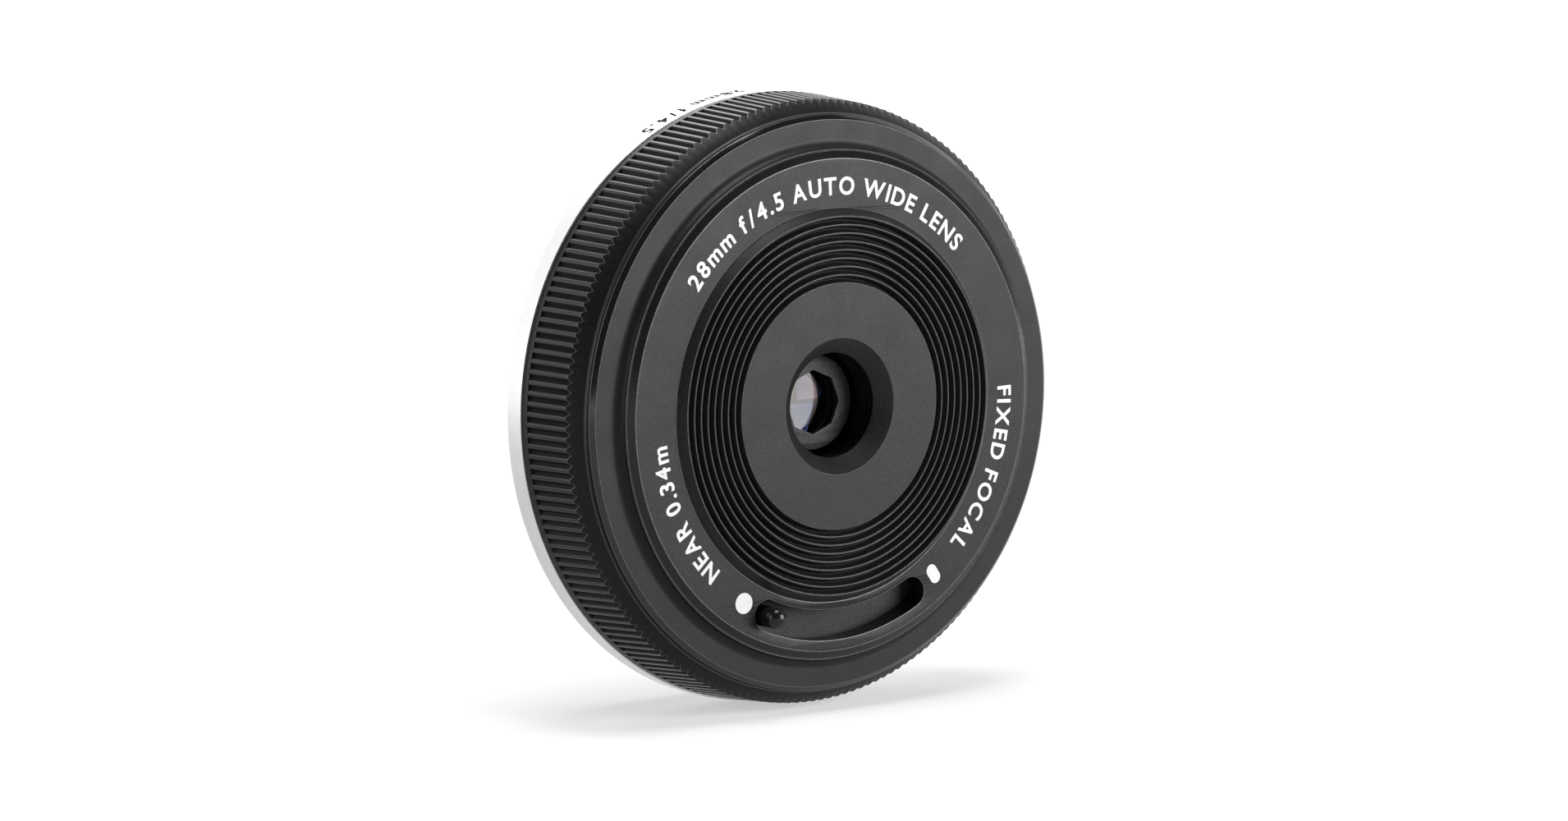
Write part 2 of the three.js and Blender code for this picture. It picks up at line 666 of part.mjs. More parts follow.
// Turn a piece about the optical axis, anticlockwise as seen from the front.
function turnedAbout(geometry, angle) {
  const g = geometry.clone();
  g.rotateY(-rad(angle));
  return g;
}
const coilOuterX = COIL_INNER_X + COIL_THICK;
const coilHole = COIL_HALF_HEIGHT - COIL_WIRE_WIDTH;
const coil = shaped(
  [block(COIL_INNER_X, coilOuterX, COIL_FRONT, COIL_REAR, -COIL_HALF_HEIGHT, COIL_HALF_HEIGHT)],
  [block(
    COIL_INNER_X - PAST, coilOuterX + PAST,
    COIL_FRONT + COIL_WIRE_WIDTH, COIL_REAR - COIL_WIRE_WIDTH, -coilHole, coilHole,
  )],
);
const magnetOuterX = MAGNET_INNER_X + MAGNET_THICK;
const magnet = block(
  MAGNET_INNER_X, magnetOuterX, MAGNET_FRONT, MAGNET_REAR, -MAGNET_HALF_HEIGHT, MAGNET_HALF_HEIGHT,
);
const yokeInnerX = magnetOuterX + GAP;
const yokeOuterX = yokeInnerX + YOKE_THICK;
const yokeInside = YOKE_HALF_HEIGHT - YOKE_THICK;
const YOKE_FRONT = 5.4;
const YOKE_REAR = 11.6;
const yoke = shaped(
  [block(YOKE_INNER_X, yokeOuterX, YOKE_FRONT, YOKE_REAR, -YOKE_HALF_HEIGHT, YOKE_HALF_HEIGHT)],
  [block(YOKE_INNER_X - PAST, yokeInnerX, YOKE_FRONT - PAST, YOKE_REAR + PAST, -yokeInside, yokeInside)],
);
for (const { side, angle } of [{ side: 'right', angle: 0 }, { side: 'left', angle: 180 }]) {
  addPiece(`drive_coil_${side}`, turnedAbout(coil, angle), copper());
  addPiece(`drive_magnet_${side}`, turnedAbout(magnet, angle), magnetGrey());
  addPiece(`magnet_yoke_${side}`, turnedAbout(yoke, angle), steel());
}

const SENSE_ANGLE = 120;
const SENSE_MAGNET_OUTER = 10.75;
addPiece('position_magnet', turnedAbout(
  block(CELL_R + 0.08, SENSE_MAGNET_OUTER, 8.0, 11.0, -1, 1), SENSE_ANGLE,
), magnetGrey());
addPiece('position_sensor', turnedAbout(shaped([
  block(11.2, 12.05, 8.6, 10.2, -0.9, 0.9),
  block(12.0, 12.2, wallRear + GAP, 10.4, -1.2, 1.2),
]), SENSE_ANGLE), amber());

// ---------- rear frame, silver rear barrel, bayonet mount ----------

const USB_CENTRE_X = -24.4;
const USB_HALF_LENGTH = 2.9; // half the straight part of the socket
const USB_HALF_WIDTH = 1.6;
const USB_FRONT = 8.6;
const USB_REAR = 15.2;
const usbLine = [[USB_CENTRE_X, -USB_HALF_LENGTH], [USB_CENTRE_X, USB_HALF_LENGTH]];
const USB_CLEARANCE = 0.12;
const usbSlot = (clearance, front, rear) => plate(
  slotOutline(usbLine, USB_HALF_WIDTH + clearance), front, rear,
);

const FLEX = { x0: 1, x1: 7, z: -17.6, thick: 0.15, clearance: 0.3 };
const flexCut = (front, rear) => block(
  FLEX.x0 - FLEX.clearance, FLEX.x1 + FLEX.clearance, front, rear,
  FLEX.z - FLEX.clearance, FLEX.z + FLEX.thick + FLEX.clearance,
);

const rearFrameEnd = REAR_FRAME_FRONT + REAR_FRAME_THICK;
addPiece('rear_frame', shaped(
  [turned(ringProfile(CELL_BORE_R, FRAME_R - GAP, REAR_FRAME_FRONT, rearFrameEnd))],
  [
    ...rodHoles(ROD_R + FIT, REAR_FRAME_FRONT - PAST, rearFrameEnd + PAST),
    ...mountScrewHoles(REAR_FRAME_FRONT - PAST, rearFrameEnd + PAST),
    usbSlot(USB_CLEARANCE, REAR_FRAME_FRONT - PAST, rearFrameEnd + PAST),
    flexCut(REAR_FRAME_FRONT - PAST, rearFrameEnd + PAST),
  ],
), blackPlastic());

const SILVER_BORE_R = FRAME_R + 0.06;
const SILVER_LIP_R = 22.4;
const SILVER_LIP_FRONT = 12.5;
const SILVER_CHAMFER = 0.15;
addPiece('rear_barrel', shaped(
  [turned([
    [SILVER_BORE_R, SILVER_FRONT], [BARREL_R, SILVER_FRONT], [BARREL_R, SILVER_REAR - SILVER_CHAMFER],
    [BARREL_R - SILVER_CHAMFER, SILVER_REAR], [SILVER_LIP_R, SILVER_REAR],
    [SILVER_LIP_R, SILVER_LIP_FRONT], [SILVER_BORE_R, SILVER_LIP_FRONT],
  ])],
  [
    ...mountScrewHoles(SILVER_LIP_FRONT - PAST, SILVER_REAR + PAST),
    usbSlot(USB_CLEARANCE, SILVER_LIP_FRONT - PAST, SILVER_REAR + PAST),
  ],
), silver());

const mountScrew = {
  headR: 1.5, headFront: FLANGE_DEPTH - 0.95, headRear: FLANGE_DEPTH - 0.05, shankR: 0.75, shankEnd: 9.6,
};
const HEAD_CLEARANCE = 0.15;
const LOCK_NOTCH = { angle: 348, pitchR: 25.2, radius: 1.1, deep: 1.2 };
const CLAW_ROOT = 0.5; // how far a claw reaches into the spigot's wall
addPiece('mount_plate', shaped(
  [
    turned([
      [SPIGOT_INNER_R, FLANGE_FRONT], [FLANGE_R, FLANGE_FRONT], [FLANGE_R, FLANGE_DEPTH],
      [SPIGOT_OUTER_R, FLANGE_DEPTH], [SPIGOT_OUTER_R, FLANGE_DEPTH + SPIGOT_END],
      [SPIGOT_INNER_R, FLANGE_DEPTH + SPIGOT_END],
    ]),
    ...CLAW_ANGLES.map((a) => plate(
      sectorOutline(SPIGOT_OUTER_R - CLAW_ROOT, CLAW_R, a - CLAW_SPAN / 2, a + CLAW_SPAN / 2, 6),
      FLANGE_DEPTH + CLAW_FRONT, FLANGE_DEPTH + CLAW_REAR,
    )),
  ],
  [
    ...mountScrewHoles(FLANGE_FRONT - PAST, FLANGE_DEPTH + PAST),
    ...holeCircle(
      MOUNT_SCREW_R, MOUNT_SCREW_ANGLES, mountScrew.headR + HEAD_CLEARANCE,
      mountScrew.headFront - GAP, FLANGE_DEPTH + PAST,
    ),
    bar(
      polar(LOCK_NOTCH.pitchR, LOCK_NOTCH.angle), LOCK_NOTCH.radius,
      FLANGE_DEPTH - LOCK_NOTCH.deep, FLANGE_DEPTH + PAST,
    ),
    usbSlot(USB_CLEARANCE, FLANGE_FRONT - PAST, FLANGE_DEPTH + PAST),
  ],
), steel());

MOUNT_SCREW_ANGLES.forEach((a, i) => addPiece(
  `mount_screw_${i + 1}`, screw(polar(MOUNT_SCREW_R, a), mountScrew), steel(),
));

// Enamel bead that marks the mounting position, on a flat of the silver barrel.
const DOT = { angle: 63, radius: 0.8, thick: 0.1 };
const dot = new THREE.CylinderGeometry(DOT.radius, DOT.radius, DOT.thick, PIN_SEGMENTS);
dot.rotateZ(Math.PI / 2);
dot.translate(BARREL_R + DOT.thick / 2 + 0.01, yAt((SILVER_FRONT + SILVER_REAR) / 2), 0);
addPiece('index_dot', turnedAbout(tidy(dot), DOT.angle), ruby());

// ---------- electronics ----------

const BOARD_FRONT = 11.15;
const BOARD_REAR = 11.85;
const CHIP_REAR = BOARD_FRONT - FIT;
const BOARD_CLEARANCE = 0.25;
const BOARD = { inner: 18, outer: 26.2, from: 152, to: 300 };
const boardOutline = sectorOutline(BOARD.inner, BOARD.outer, BOARD.from, BOARD.to, 12);
const BOARD_POST_ANGLE = 225; // the frame post that stands inside the board's outline
addPiece('main_board', shaped(
  [plate(boardOutline, BOARD_FRONT, BOARD_REAR)],
  [
    usbSlot(BOARD_CLEARANCE, BOARD_FRONT - PAST, BOARD_REAR + PAST),
    bar(
      polar(MOUNT_SCREW_R, BOARD_POST_ANGLE), POST_R + BOARD_CLEARANCE,
      BOARD_FRONT - PAST, BOARD_REAR + PAST,
    ),
    block(
      FLEX.x0 - FLEX.clearance, FLEX.x1 + FLEX.clearance, BOARD_FRONT - PAST, BOARD_REAR + PAST,
      FLEX.z - 0.6, -BOARD.inner + 4,
    ),
  ],
), boardGreen());
const chip = ([x, z], halfX, halfZ, height) => block(
  x - halfX, x + halfX, CHIP_REAR - height, CHIP_REAR, z - halfZ, z + halfZ,
);
const CHIP_HEIGHT = 0.9;
addPiece('controller_chip', chip([-7.5, -20.7], 2.5, 2.5, CHIP_HEIGHT), blackPlastic());
addPiece('board_connector', chip([4, -21.6], 2.6, 0.9, CHIP_HEIGHT), amber());

const USB_WALL = 0.3;
const USB_FLOOR = 0.8;
const TONGUE = { halfThick: 0.35, halfWidth: 3.3, setBack: 0.6 };
const usbShell = shaped(
  [usbSlot(0, USB_FRONT, USB_REAR)],
  [usbSlot(-USB_WALL, USB_FRONT + USB_FLOOR, USB_REAR + PAST)],
);
addPiece('usb_socket', shaped([
  usbShell,
  block(
    USB_CENTRE_X - TONGUE.halfThick, USB_CENTRE_X + TONGUE.halfThick,
    USB_FRONT + USB_FLOOR - SINK, USB_REAR - TONGUE.setBack, -TONGUE.halfWidth, TONGUE.halfWidth,
  ),
]), steel());

const BLOCK_FRONT = FLANGE_DEPTH + BAFFLE_FRONT + BAFFLE_THICK + GAP;
const BLOCK_REAR = FLANGE_DEPTH + 3.5;
addPiece('contact_block', plate(
  sectorOutline(16.7, 19.3, 243, 297, 8), BLOCK_FRONT, BLOCK_REAR,
), blackPlastic());

const PAD_COUNT = 10;
const PAD_PITCH = 5; // degrees
const padAngles = Array.from({ length: PAD_COUNT }, (_, i) => 270 + (i - (PAD_COUNT - 1) / 2) * PAD_PITCH);
const PAD_HALF_SPAN = 1.6; // degrees
const PAD_STEP = 0.13; // how far a pad stands above the strip
const stripFront = BLOCK_REAR + FIT;
const stripRear = stripFront + 0.1;
addPiece('contact_strip', shaped([
  plate(sectorOutline(17.6, 18.4, 245.5, 294.5, 8), stripFront, stripRear),
  ...padAngles.map((a) => plate(
    sectorOutline(17.2, 18.8, a - PAD_HALF_SPAN, a + PAD_HALF_SPAN, 1), stripFront, stripRear + PAD_STEP,
  )),
]), gold());

const FLEX_FOLD = BOARD_FRONT - 0.3; // depth where the cable turns to its connector
const FLEX_TAIL = 3;
addPiece('flex_cable', shaped([
  block(FLEX.x0, FLEX.x1, FLEX_FOLD, BLOCK_FRONT - GAP, FLEX.z, FLEX.z + FLEX.thick),
  block(FLEX.x0, FLEX.x1, FLEX_FOLD, FLEX_FOLD + FLEX.thick, FLEX.z - FLEX_TAIL, FLEX.z + FLEX.thick),
]), amber());

const baffleR = SPIGOT_INNER_R - RUNNING;
const baffleFront = FLANGE_DEPTH + BAFFLE_FRONT;
const baffleRear = baffleFront + BAFFLE_THICK;
addPiece('rear_baffle', shaped(
  [turned([[0, baffleFront], [baffleR, baffleFront], [baffleR, baffleRear], [0, baffleRear]])],
  [
    block(
      -WINDOW_WIDTH / 2, WINDOW_WIDTH / 2, baffleFront - PAST, baffleRear + PAST,
      -WINDOW_HEIGHT / 2, WINDOW_HEIGHT / 2,
    ),
    flexCut(baffleFront - PAST, baffleRear + PAST),
  ],
), blackPlastic());

export default lens;
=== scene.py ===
"""The looks of a pancake autofocus prime lens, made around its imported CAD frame.

Row frame: metres, the optical axis is Y, the front faces -Y and +Z is up. Shapes below are given in
millimetres as radius, depth (rearward from the front face) and angle (anticlockwise from +X as seen
from the front), and are turned into metres in one place, to_row().
"""

import json
import math

import bmesh
import bpy
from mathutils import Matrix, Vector
from mathutils.geometry import tessellate_polygon


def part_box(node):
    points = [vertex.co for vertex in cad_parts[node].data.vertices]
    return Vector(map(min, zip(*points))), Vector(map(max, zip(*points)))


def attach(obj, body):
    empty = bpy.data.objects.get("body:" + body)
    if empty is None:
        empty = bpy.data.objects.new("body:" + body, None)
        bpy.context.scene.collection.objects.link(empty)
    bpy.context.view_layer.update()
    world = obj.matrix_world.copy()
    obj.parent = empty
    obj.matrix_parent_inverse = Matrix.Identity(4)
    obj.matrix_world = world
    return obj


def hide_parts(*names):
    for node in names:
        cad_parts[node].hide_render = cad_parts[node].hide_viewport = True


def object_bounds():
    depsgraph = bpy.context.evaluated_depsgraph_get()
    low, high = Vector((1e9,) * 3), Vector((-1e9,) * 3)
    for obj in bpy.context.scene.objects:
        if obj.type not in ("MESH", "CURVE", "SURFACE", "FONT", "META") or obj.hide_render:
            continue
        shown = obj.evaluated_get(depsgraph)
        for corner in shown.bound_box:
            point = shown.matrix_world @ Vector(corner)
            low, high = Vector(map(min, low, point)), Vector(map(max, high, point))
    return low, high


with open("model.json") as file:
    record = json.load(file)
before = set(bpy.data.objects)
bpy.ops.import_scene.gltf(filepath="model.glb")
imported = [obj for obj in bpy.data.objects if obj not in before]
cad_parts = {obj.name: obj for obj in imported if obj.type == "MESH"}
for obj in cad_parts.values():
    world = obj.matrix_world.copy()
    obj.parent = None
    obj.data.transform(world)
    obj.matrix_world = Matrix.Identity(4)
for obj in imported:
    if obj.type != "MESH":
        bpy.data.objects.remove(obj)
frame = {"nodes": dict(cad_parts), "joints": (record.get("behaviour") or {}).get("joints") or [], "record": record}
CAD_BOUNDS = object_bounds()
RECORD = frame["record"]
BODY_OF = {n: body for body, nodes in RECORD["behaviour"]["bodies"].items() for n in nodes}
SLOT_OF = {s["node"]: s["material_slot"] for s in RECORD["subparts"]}

# ---------- sizes, read from the frame ----------

MM = 0.001
FRONT_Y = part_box("front_cap")[0].y


def bottom_radius(node):
    """Radius of a turned node in mm: a flat of its facets lies at the bottom, at the true radius."""
    return -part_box(node)[0].z / MM


def depths(node):
    """Depths of a node's front and rear in mm."""
    low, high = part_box(node)
    return ((low.y - FRONT_Y) / MM, (high.y - FRONT_Y) / MM)


def centre(node):
    """The x and z of a node's middle in mm."""
    low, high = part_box(node)
    return ((low.x + high.x) / 2 / MM, (low.z + high.z) / 2 / MM)


def joint_end(name):
    """The far end of a joint's range in degrees."""
    return next(joint["range_deg"][1] for joint in frame["joints"] if joint["name"] == name)


GRIP_R = bottom_radius("grip_barrel")
SILVER_R = bottom_radius("rear_barrel")
FLANGE_R = bottom_radius("mount_plate")
FLANGE = -FRONT_Y / MM  # depth of the mount flange, which is y = 0
GRIP_REAR = depths("grip_barrel")[1]
SILVER_FRONT, SILVER_REAR = depths("rear_barrel")
NAME_FACE, NAME_REAR = depths("name_ring")
BEZEL_OUTER_R = bottom_radius("bezel_ring")

SEGMENTS = 240  # round a large turned piece
SMALL_SEGMENTS = 96
PIN_SEGMENTS = 48
EDGE = 0.07  # how far a machined edge is broken
FINE_EDGE = 0.03
SMOOTH_TURN = math.radians(12)  # a corner of a profile that turns less than this stays as it is
ARC_STEPS = 3  # in a rounded corner
ARC_SHARE = 0.42  # of a side, the most that one rounded corner may take
MITRE_LIMIT = 0.5  # keeps the corner of a moved outline within twice its distance
SHORT_WALL = 2.2 * EDGE  # a step of a wall that is shorter than this is a broken edge
ON_AXIS = 1e-9  # a smaller radius than this is on the axis
PICK = 0.01  # the slack in tests that pick faces by place

PLAIN, BROKEN, THIRD, FOURTH = range(4)  # finishes of faces, in the order of a piece's materials; on the black parts some of them carry painted highlights, painted shade and painted light

# ---------- geometry: lists of corners and faces, in mm ----------


def to_row(x, z, depth):
    return Vector((x * MM, FRONT_Y + depth * MM, z * MM))


def polar(radius, angle):
    a = math.radians(angle)
    return (radius * math.cos(a), radius * math.sin(a))


def turn_point(point, angle, about=(0, 0)):
    c, s = math.cos(math.radians(angle)), math.sin(math.radians(angle))
    x, z = point[0] - about[0], point[1] - about[1]
    return (about[0] + c * x - s * z, about[1] + s * x + c * z)


def turn_loop(points, angle, about=(0, 0)):
    return [turn_point(p, angle, about) for p in points]


def arc(radius, start, end, steps, middle=(0, 0)):
    points = [polar(radius, start + (end - start) * i / steps) for i in range(steps + 1)]
    return [(middle[0] + x, middle[1] + z) for x, z in points]


def circle(radius, segments, middle=(0, 0)):
    return arc(radius, 0, 360, segments, middle)[:-1]


def rounded(profile, radius=EDGE, closed=True):
    """Rounds a profile's corners. Gives (radius, depth, finish), with BROKEN on the short arcs."""
    out = []
    count = len(profile)
    for i, (r, d) in enumerate(profile):
        if not closed and i in (0, count - 1):
            out.append((r, d, PLAIN))
            continue
        here = Vector((r, d))
        before = Vector(profile[i - 1]) - here
        after = Vector(profile[(i + 1) % count]) - here
        turn = math.pi - before.angle(after)
        if turn < SMOOTH_TURN:
            out.append((r, d, PLAIN))
            continue
        reach = min(radius * math.tan(turn / 2), ARC_SHARE * before.length, ARC_SHARE * after.length)
        a = here + before.normalized() * reach
        b = here + after.normalized() * reach
        for k in range(ARC_STEPS + 1):
            t = k / ARC_STEPS
            p = a * (1 - t) ** 2 + here * 2 * t * (1 - t) + b * t ** 2
            out.append((p.x, p.y, BROKEN if k < ARC_STEPS else PLAIN))
    return out


def turned(profile, segments=SEGMENTS, middle=(0, 0), radius=EDGE):
    """A piece turned about an axis parallel to Y through middle. It may start and end on the axis."""
    on_axis = profile[0][0] == 0 and profile[-1][0] == 0
    rings = rounded(profile, radius, closed=not on_axis)
    corners, starts = [], []
    for r, d, _ in rings:
        starts.append(len(corners))
        if r < ON_AXIS:
            corners.append((middle[0], middle[1], d))
        else:
            corners += [(x, z, d) for x, z in circle(r, segments, middle)]
    faces = []
    last = len(rings) - 1 if on_axis else len(rings)
    for i in range(last):
        j = (i + 1) % len(rings)
        a, b, finish = starts[i], starts[j], rings[i][2]
        for k in range(segments):
            n = (k + 1) % segments
            if rings[i][0] < ON_AXIS:
                faces.append(((a, b + n, b + k), finish))
            elif rings[j][0] < ON_AXIS:
                faces.append(((a + k, a + n, b), finish))
            else:
                faces.append(((a + k, a + n, b + n, b + k), finish))
    return corners, faces


def refinish(shape, finish, test):
    """The shape with another finish on the faces whose corners all pass test(radius, depth)."""
    corners, faces = shape
    places = [(math.hypot(x, z), depth) for x, z, depth in corners]
    return corners, [(f, finish if all(test(*places[c]) for c in f) else old) for f, old in faces]


def moved_loop(points, distance):
    """A closed outline moved inwards by a distance; a negative distance moves it outwards."""
    area = sum(a[0] * b[1] - b[0] * a[1] for a, b in zip(points, points[1:] + points[:1]))
    sign = 1 if area > 0 else -1
    out = []
    for i, p in enumerate(points):
        a, b, c = Vector(points[i - 1]), Vector(p), Vector(points[(i + 1) % len(points)])
        u, v = (b - a).normalized(), (c - b).normalized()
        normal = Vector((-(u.y + v.y), u.x + v.x)).normalized() * sign
        half = max(MITRE_LIMIT, normal.dot(Vector((-u.y, u.x)) * sign))
        out.append(tuple(b + normal * (distance / half)))
    return out


def broken_edges(near, far, edge=EDGE):
    """The wall of an outline from its near face to its far one, with both edges broken."""
    bend = edge * 0.3  # the middle of an edge's curve
    return [(edge, near), (bend, near + bend), (0, near + edge),
            (0, far - edge), (bend, far - bend), (edge, far)]


def plate(outline, walls, holes=(), pits=()):
    """A flat piece between two faces parallel to the mount. walls is (inset, depth) from the front
    face's rim to the rear one's. holes are (outline, walls) right through, and pits are the same from
    the rear face down to a floor. A hole's inset widens it."""
    corners, faces = [], []

    def wall(points, rows, sign):
        starts = []
        for inset, depth in rows:
            starts.append(len(corners))
            corners.extend((x, z, depth) for x, z in moved_loop(points, sign * inset))
        count = len(points)
        for i in range(len(rows) - 1):
            length = abs(rows[i][0] - rows[i + 1][0]) + abs(rows[i][1] - rows[i + 1][1])
            finish = BROKEN if length < SHORT_WALL else PLAIN
            for k in range(count):
                n = (k + 1) % count
                a, b = starts[i], starts[i + 1]
                faces.append(((a + k, a + n, b + n, b + k), finish))
        return list(range(starts[0], starts[0] + count)), list(range(starts[-1], starts[-1] + count))

    def fill(loops):
        flat = [i for loop in loops for i in loop]
        lines = [[Vector((corners[i][0], corners[i][1], 0)) for i in loop] for loop in loops]
        for triangle in tessellate_polygon(lines):
            faces.append((tuple(flat[i] for i in triangle), PLAIN))

    first, last = wall(outline, walls, 1)
    near, far = [first], [last]
    for points, rows in holes:
        first, last = wall(points, rows, -1)
        near.append(first)
        far.append(last)
    for points, rows in pits:
        first, last = wall(points, rows, -1)
        fill([first])
        far.append(last)
    fill(near)
    fill(far)
    return corners, faces


def slot_loop(line, half_width, end_steps=16):
    """The round-ended outline around a centre line."""
    def heading(i):
        a, b = line[max(i - 1, 0)], line[min(i + 1, len(line) - 1)]
        return math.atan2(b[1] - a[1], b[0] - a[0])

    def beside(p, a):
        return (p[0] + half_width * math.cos(a), p[1] + half_width * math.sin(a))

    last = len(line) - 1
    out = [beside(p, heading(i) - math.pi / 2) for i, p in enumerate(line)]
    for k in range(1, end_steps):
        out.append(beside(line[last], heading(last) - math.pi / 2 + math.pi * k / end_steps))
    out += [beside(line[i], heading(i) + math.pi / 2) for i in range(last, -1, -1)]
    for k in range(1, end_steps):
        out.append(beside(line[0], heading(0) + math.pi / 2 + math.pi * k / end_steps))
    return out


def sector_loop(inner, outer, start, end, steps=24):
    return arc(outer, start, end, steps) + arc(inner, end, start, steps)


def rectangle_loop(half_width, half_height, corner, middle, steps):
    """A rectangle with rounded corners."""
    out = []
    for quarter, (sx, sz) in enumerate(((1, 1), (-1, 1), (-1, -1), (1, -1))):
        at = (middle[0] + sx * (half_width - corner), middle[1] + sz * (half_height - corner))
        out += arc(corner, 90 * quarter, 90 * (quarter + 1), steps, at)
    return out


def block(x0, x1, near, far, z0, z1, edge=EDGE):
    middle = ((x0 + x1) / 2, (z0 + z1) / 2)
    corner = edge * 1.5
    outline = rectangle_loop((x1 - x0) / 2, (z1 - z0) / 2, corner, middle, 3)
    return plate(outline, broken_edges(near, far, edge))


def new_object(name, data):
    made = bpy.data.objects.new(name, data)
    bpy.context.scene.collection.objects.link(made)
    return made


def piece(node, suffix, shapes, materials, sharp=35, extra_slot=None):
    """Makes one object of one or more shapes. It stands for a CAD node and rides with it, or with
    extra_slot it is an addition beside that node. materials are in the order
    of the finishes, and the last one also does for the finishes after it."""
    name = f"{node}_{suffix}"
    corners, faces, finishes = [], [], []
    for shape_corners, shape_faces in shapes:
        base = len(corners)
        corners += [to_row(*c) for c in shape_corners]
        for face, finish in shape_faces:
            faces.append([base + i for i in face])
            finishes.append(finish)
    mesh = bpy.data.meshes.new(name)
    mesh.from_pydata(corners, [], faces)
    for material in materials:
        mesh.materials.append(material)
    for polygon, finish in zip(mesh.polygons, finishes):
        polygon.material_index = min(finish, len(materials) - 1)
    bm = bmesh.new()
    bm.from_mesh(mesh)
    bmesh.ops.recalc_face_normals(bm, faces=bm.faces)
    bm.to_mesh(mesh)
    bm.free()
    mesh.shade_smooth()
    mesh.set_sharp_from_angle(angle=math.radians(sharp))
    made = new_object(name, mesh)
    weighted = made.modifiers.new("weighted_normal", "WEIGHTED_NORMAL")
    weighted.keep_sharp = True
    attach(made, BODY_OF[node])
    if extra_slot is None:
        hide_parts(node)
    extra_slot or SLOT_OF[node]


# ---------- materials ----------


NOISE_LOW, NOISE_HIGH = 0.3, 0.7  # where most of a noise's values lie


def feed(tree, node, inputs):
    """Gives each named socket of a node its value, or joins it to another node's output."""
    for name, value in inputs.items():
        if isinstance(value, bpy.types.NodeSocket):
            tree.links.new(value, node.inputs[name])
        else:
            node.inputs[name].default_value = value


def map_range(tree, factor, from_low, from_high, low, high, interpolation):
    """A value that runs from low to high as the factor runs from from_low to from_high."""
    node = tree.nodes.new("ShaderNodeMapRange")
    node.interpolation_type = interpolation
    feed(tree, node, {"Value": factor, "From Min": from_low, "From Max": from_high,
                      "To Min": low, "To Max": high})
    return node.outputs["Result"]


class Nodes:
    """A material's node tree, with short calls to add and join nodes."""

    def __init__(self, name):
        self.material = bpy.data.materials.new(name)
        self.material.use_nodes = True
        self.tree = self.material.node_tree
        self.shader = self.tree.nodes["Principled BSDF"]
        self.place = self.add("ShaderNodeTexCoord").outputs["Object"]

    def add(self, kind, inputs=None, **settings):
        node = self.tree.nodes.new(kind)
        for key, value in settings.items():
            setattr(node, key, value)
        feed(self.tree, node, inputs or {})
        return node

    def set(self, **inputs):
        """Sets or joins the shader's own sockets; an underscore stands for a space."""
        feed(self.tree, self.shader, {key.replace("_", " "): inputs[key] for key in inputs})

    def noise(self, scale, detail=3.0, roughness=0.55, at=None):
        inputs = {"Vector": at or self.place, "Scale": scale, "Detail": detail, "Roughness": roughness}
        return self.add("ShaderNodeTexNoise", inputs).outputs["Fac"]

    def bands(self, scale, distortion):
        inputs = {"Vector": self.place, "Scale": scale, "Distortion": distortion}
        node = self.add("ShaderNodeTexWave", inputs, wave_type="BANDS", bands_direction="X")
        return node.outputs["Fac"]

    def ramp(self, factor, stops):
        """Colours along a factor. stops are (place, colour)."""
        node = self.add("ShaderNodeValToRGB", {"Fac": factor})
        elements = node.color_ramp.elements
        while len(elements) < len(stops):
            elements.new(0.5)
        for element, (place, colour) in zip(elements, stops):
            element.position = place
            element.color = (*colour, 1)
        return node.outputs["Color"]

    def span(self, factor, low, high):
        """A value that runs from low to high over the middle of a noise's factor."""
        return map_range(self.tree, factor, NOISE_LOW, NOISE_HIGH, low, high, "LINEAR")

    def maths(self, operation, *values):
        node = self.add("ShaderNodeMath", operation=operation)
        for value, socket in zip(values, node.inputs):
            self.tree.links.new(value, socket)
        return node.outputs["Value"]

    def lathe_place(self):
        """The distance from the optical axis and the place along it, as X and Y."""
        x, y, z = self.add("ShaderNodeSeparateXYZ", {"Vector": self.place}).outputs
        square = self.maths("ADD", self.maths("MULTIPLY", x, x), self.maths("MULTIPLY", z, z))
        radius = self.maths("SQRT", square)
        return self.add("ShaderNodeCombineXYZ", {"X": radius, "Y": y}).outputs["Vector"]

    def skin(self, tones, stops, rough, spread, rough_map, relief, height, relief_map):
        """Colour, roughness and fine relief, each from a pattern, and the finished material."""
        bump = self.add("ShaderNodeBump", {"Strength": relief, "Distance": height, "Height": relief_map})
        self.set(Base_Color=self.ramp(tones, stops),
                 Roughness=self.span(rough_map, rough - spread, rough + spread),
                 Normal=bump.outputs["Normal"])
        return self.material


def grey(value, warm=0.0):
    """A grey, a little red of neutral where warm is above 0 and a little blue where it is below."""
    return (value * (1 + warm), value, value * (1 - warm))


def shaded(colour, share):
    return tuple(share * part for part in colour)


def anodised(name, tone, rough, sparkle=0.35, relief=0.5, gloss=0.28):
    """Bead-blasted, black anodised aluminium: a fine even grain with a faint sparkle.
    sparkle is the share by which single grains are darker or lighter, relief is their height."""
    m = Nodes(name)
    m.set(Specular_IOR_Level=gloss)
    grain = m.noise(5200, 3.0, 0.75)
    cloud = m.noise(260, 3.0)
    low, high = tone * (1 - sparkle), tone * (1 + sparkle)
    stops = [(0.38, grey(low)), (0.5, grey(tone)), (0.64, grey(high))]
    return m.skin(grain, stops, rough, 0.04, cloud, relief, 0.00003, m.noise(8000, 3.0))


def moulded_plastic(name, tone, rough):
    """Moulded plastic with a fine spark-eroded grain."""
    m = Nodes(name)
    m.set(Specular_IOR_Level=0.3)
    stops = [(0.35, grey(tone * 0.85)), (0.65, grey(tone * 1.15))]
    return m.skin(m.noise(500, 2.0), stops, rough, 0.06, m.noise(1500, 2.0),
                  0.3, 0.00002, m.noise(6000, 2.0))


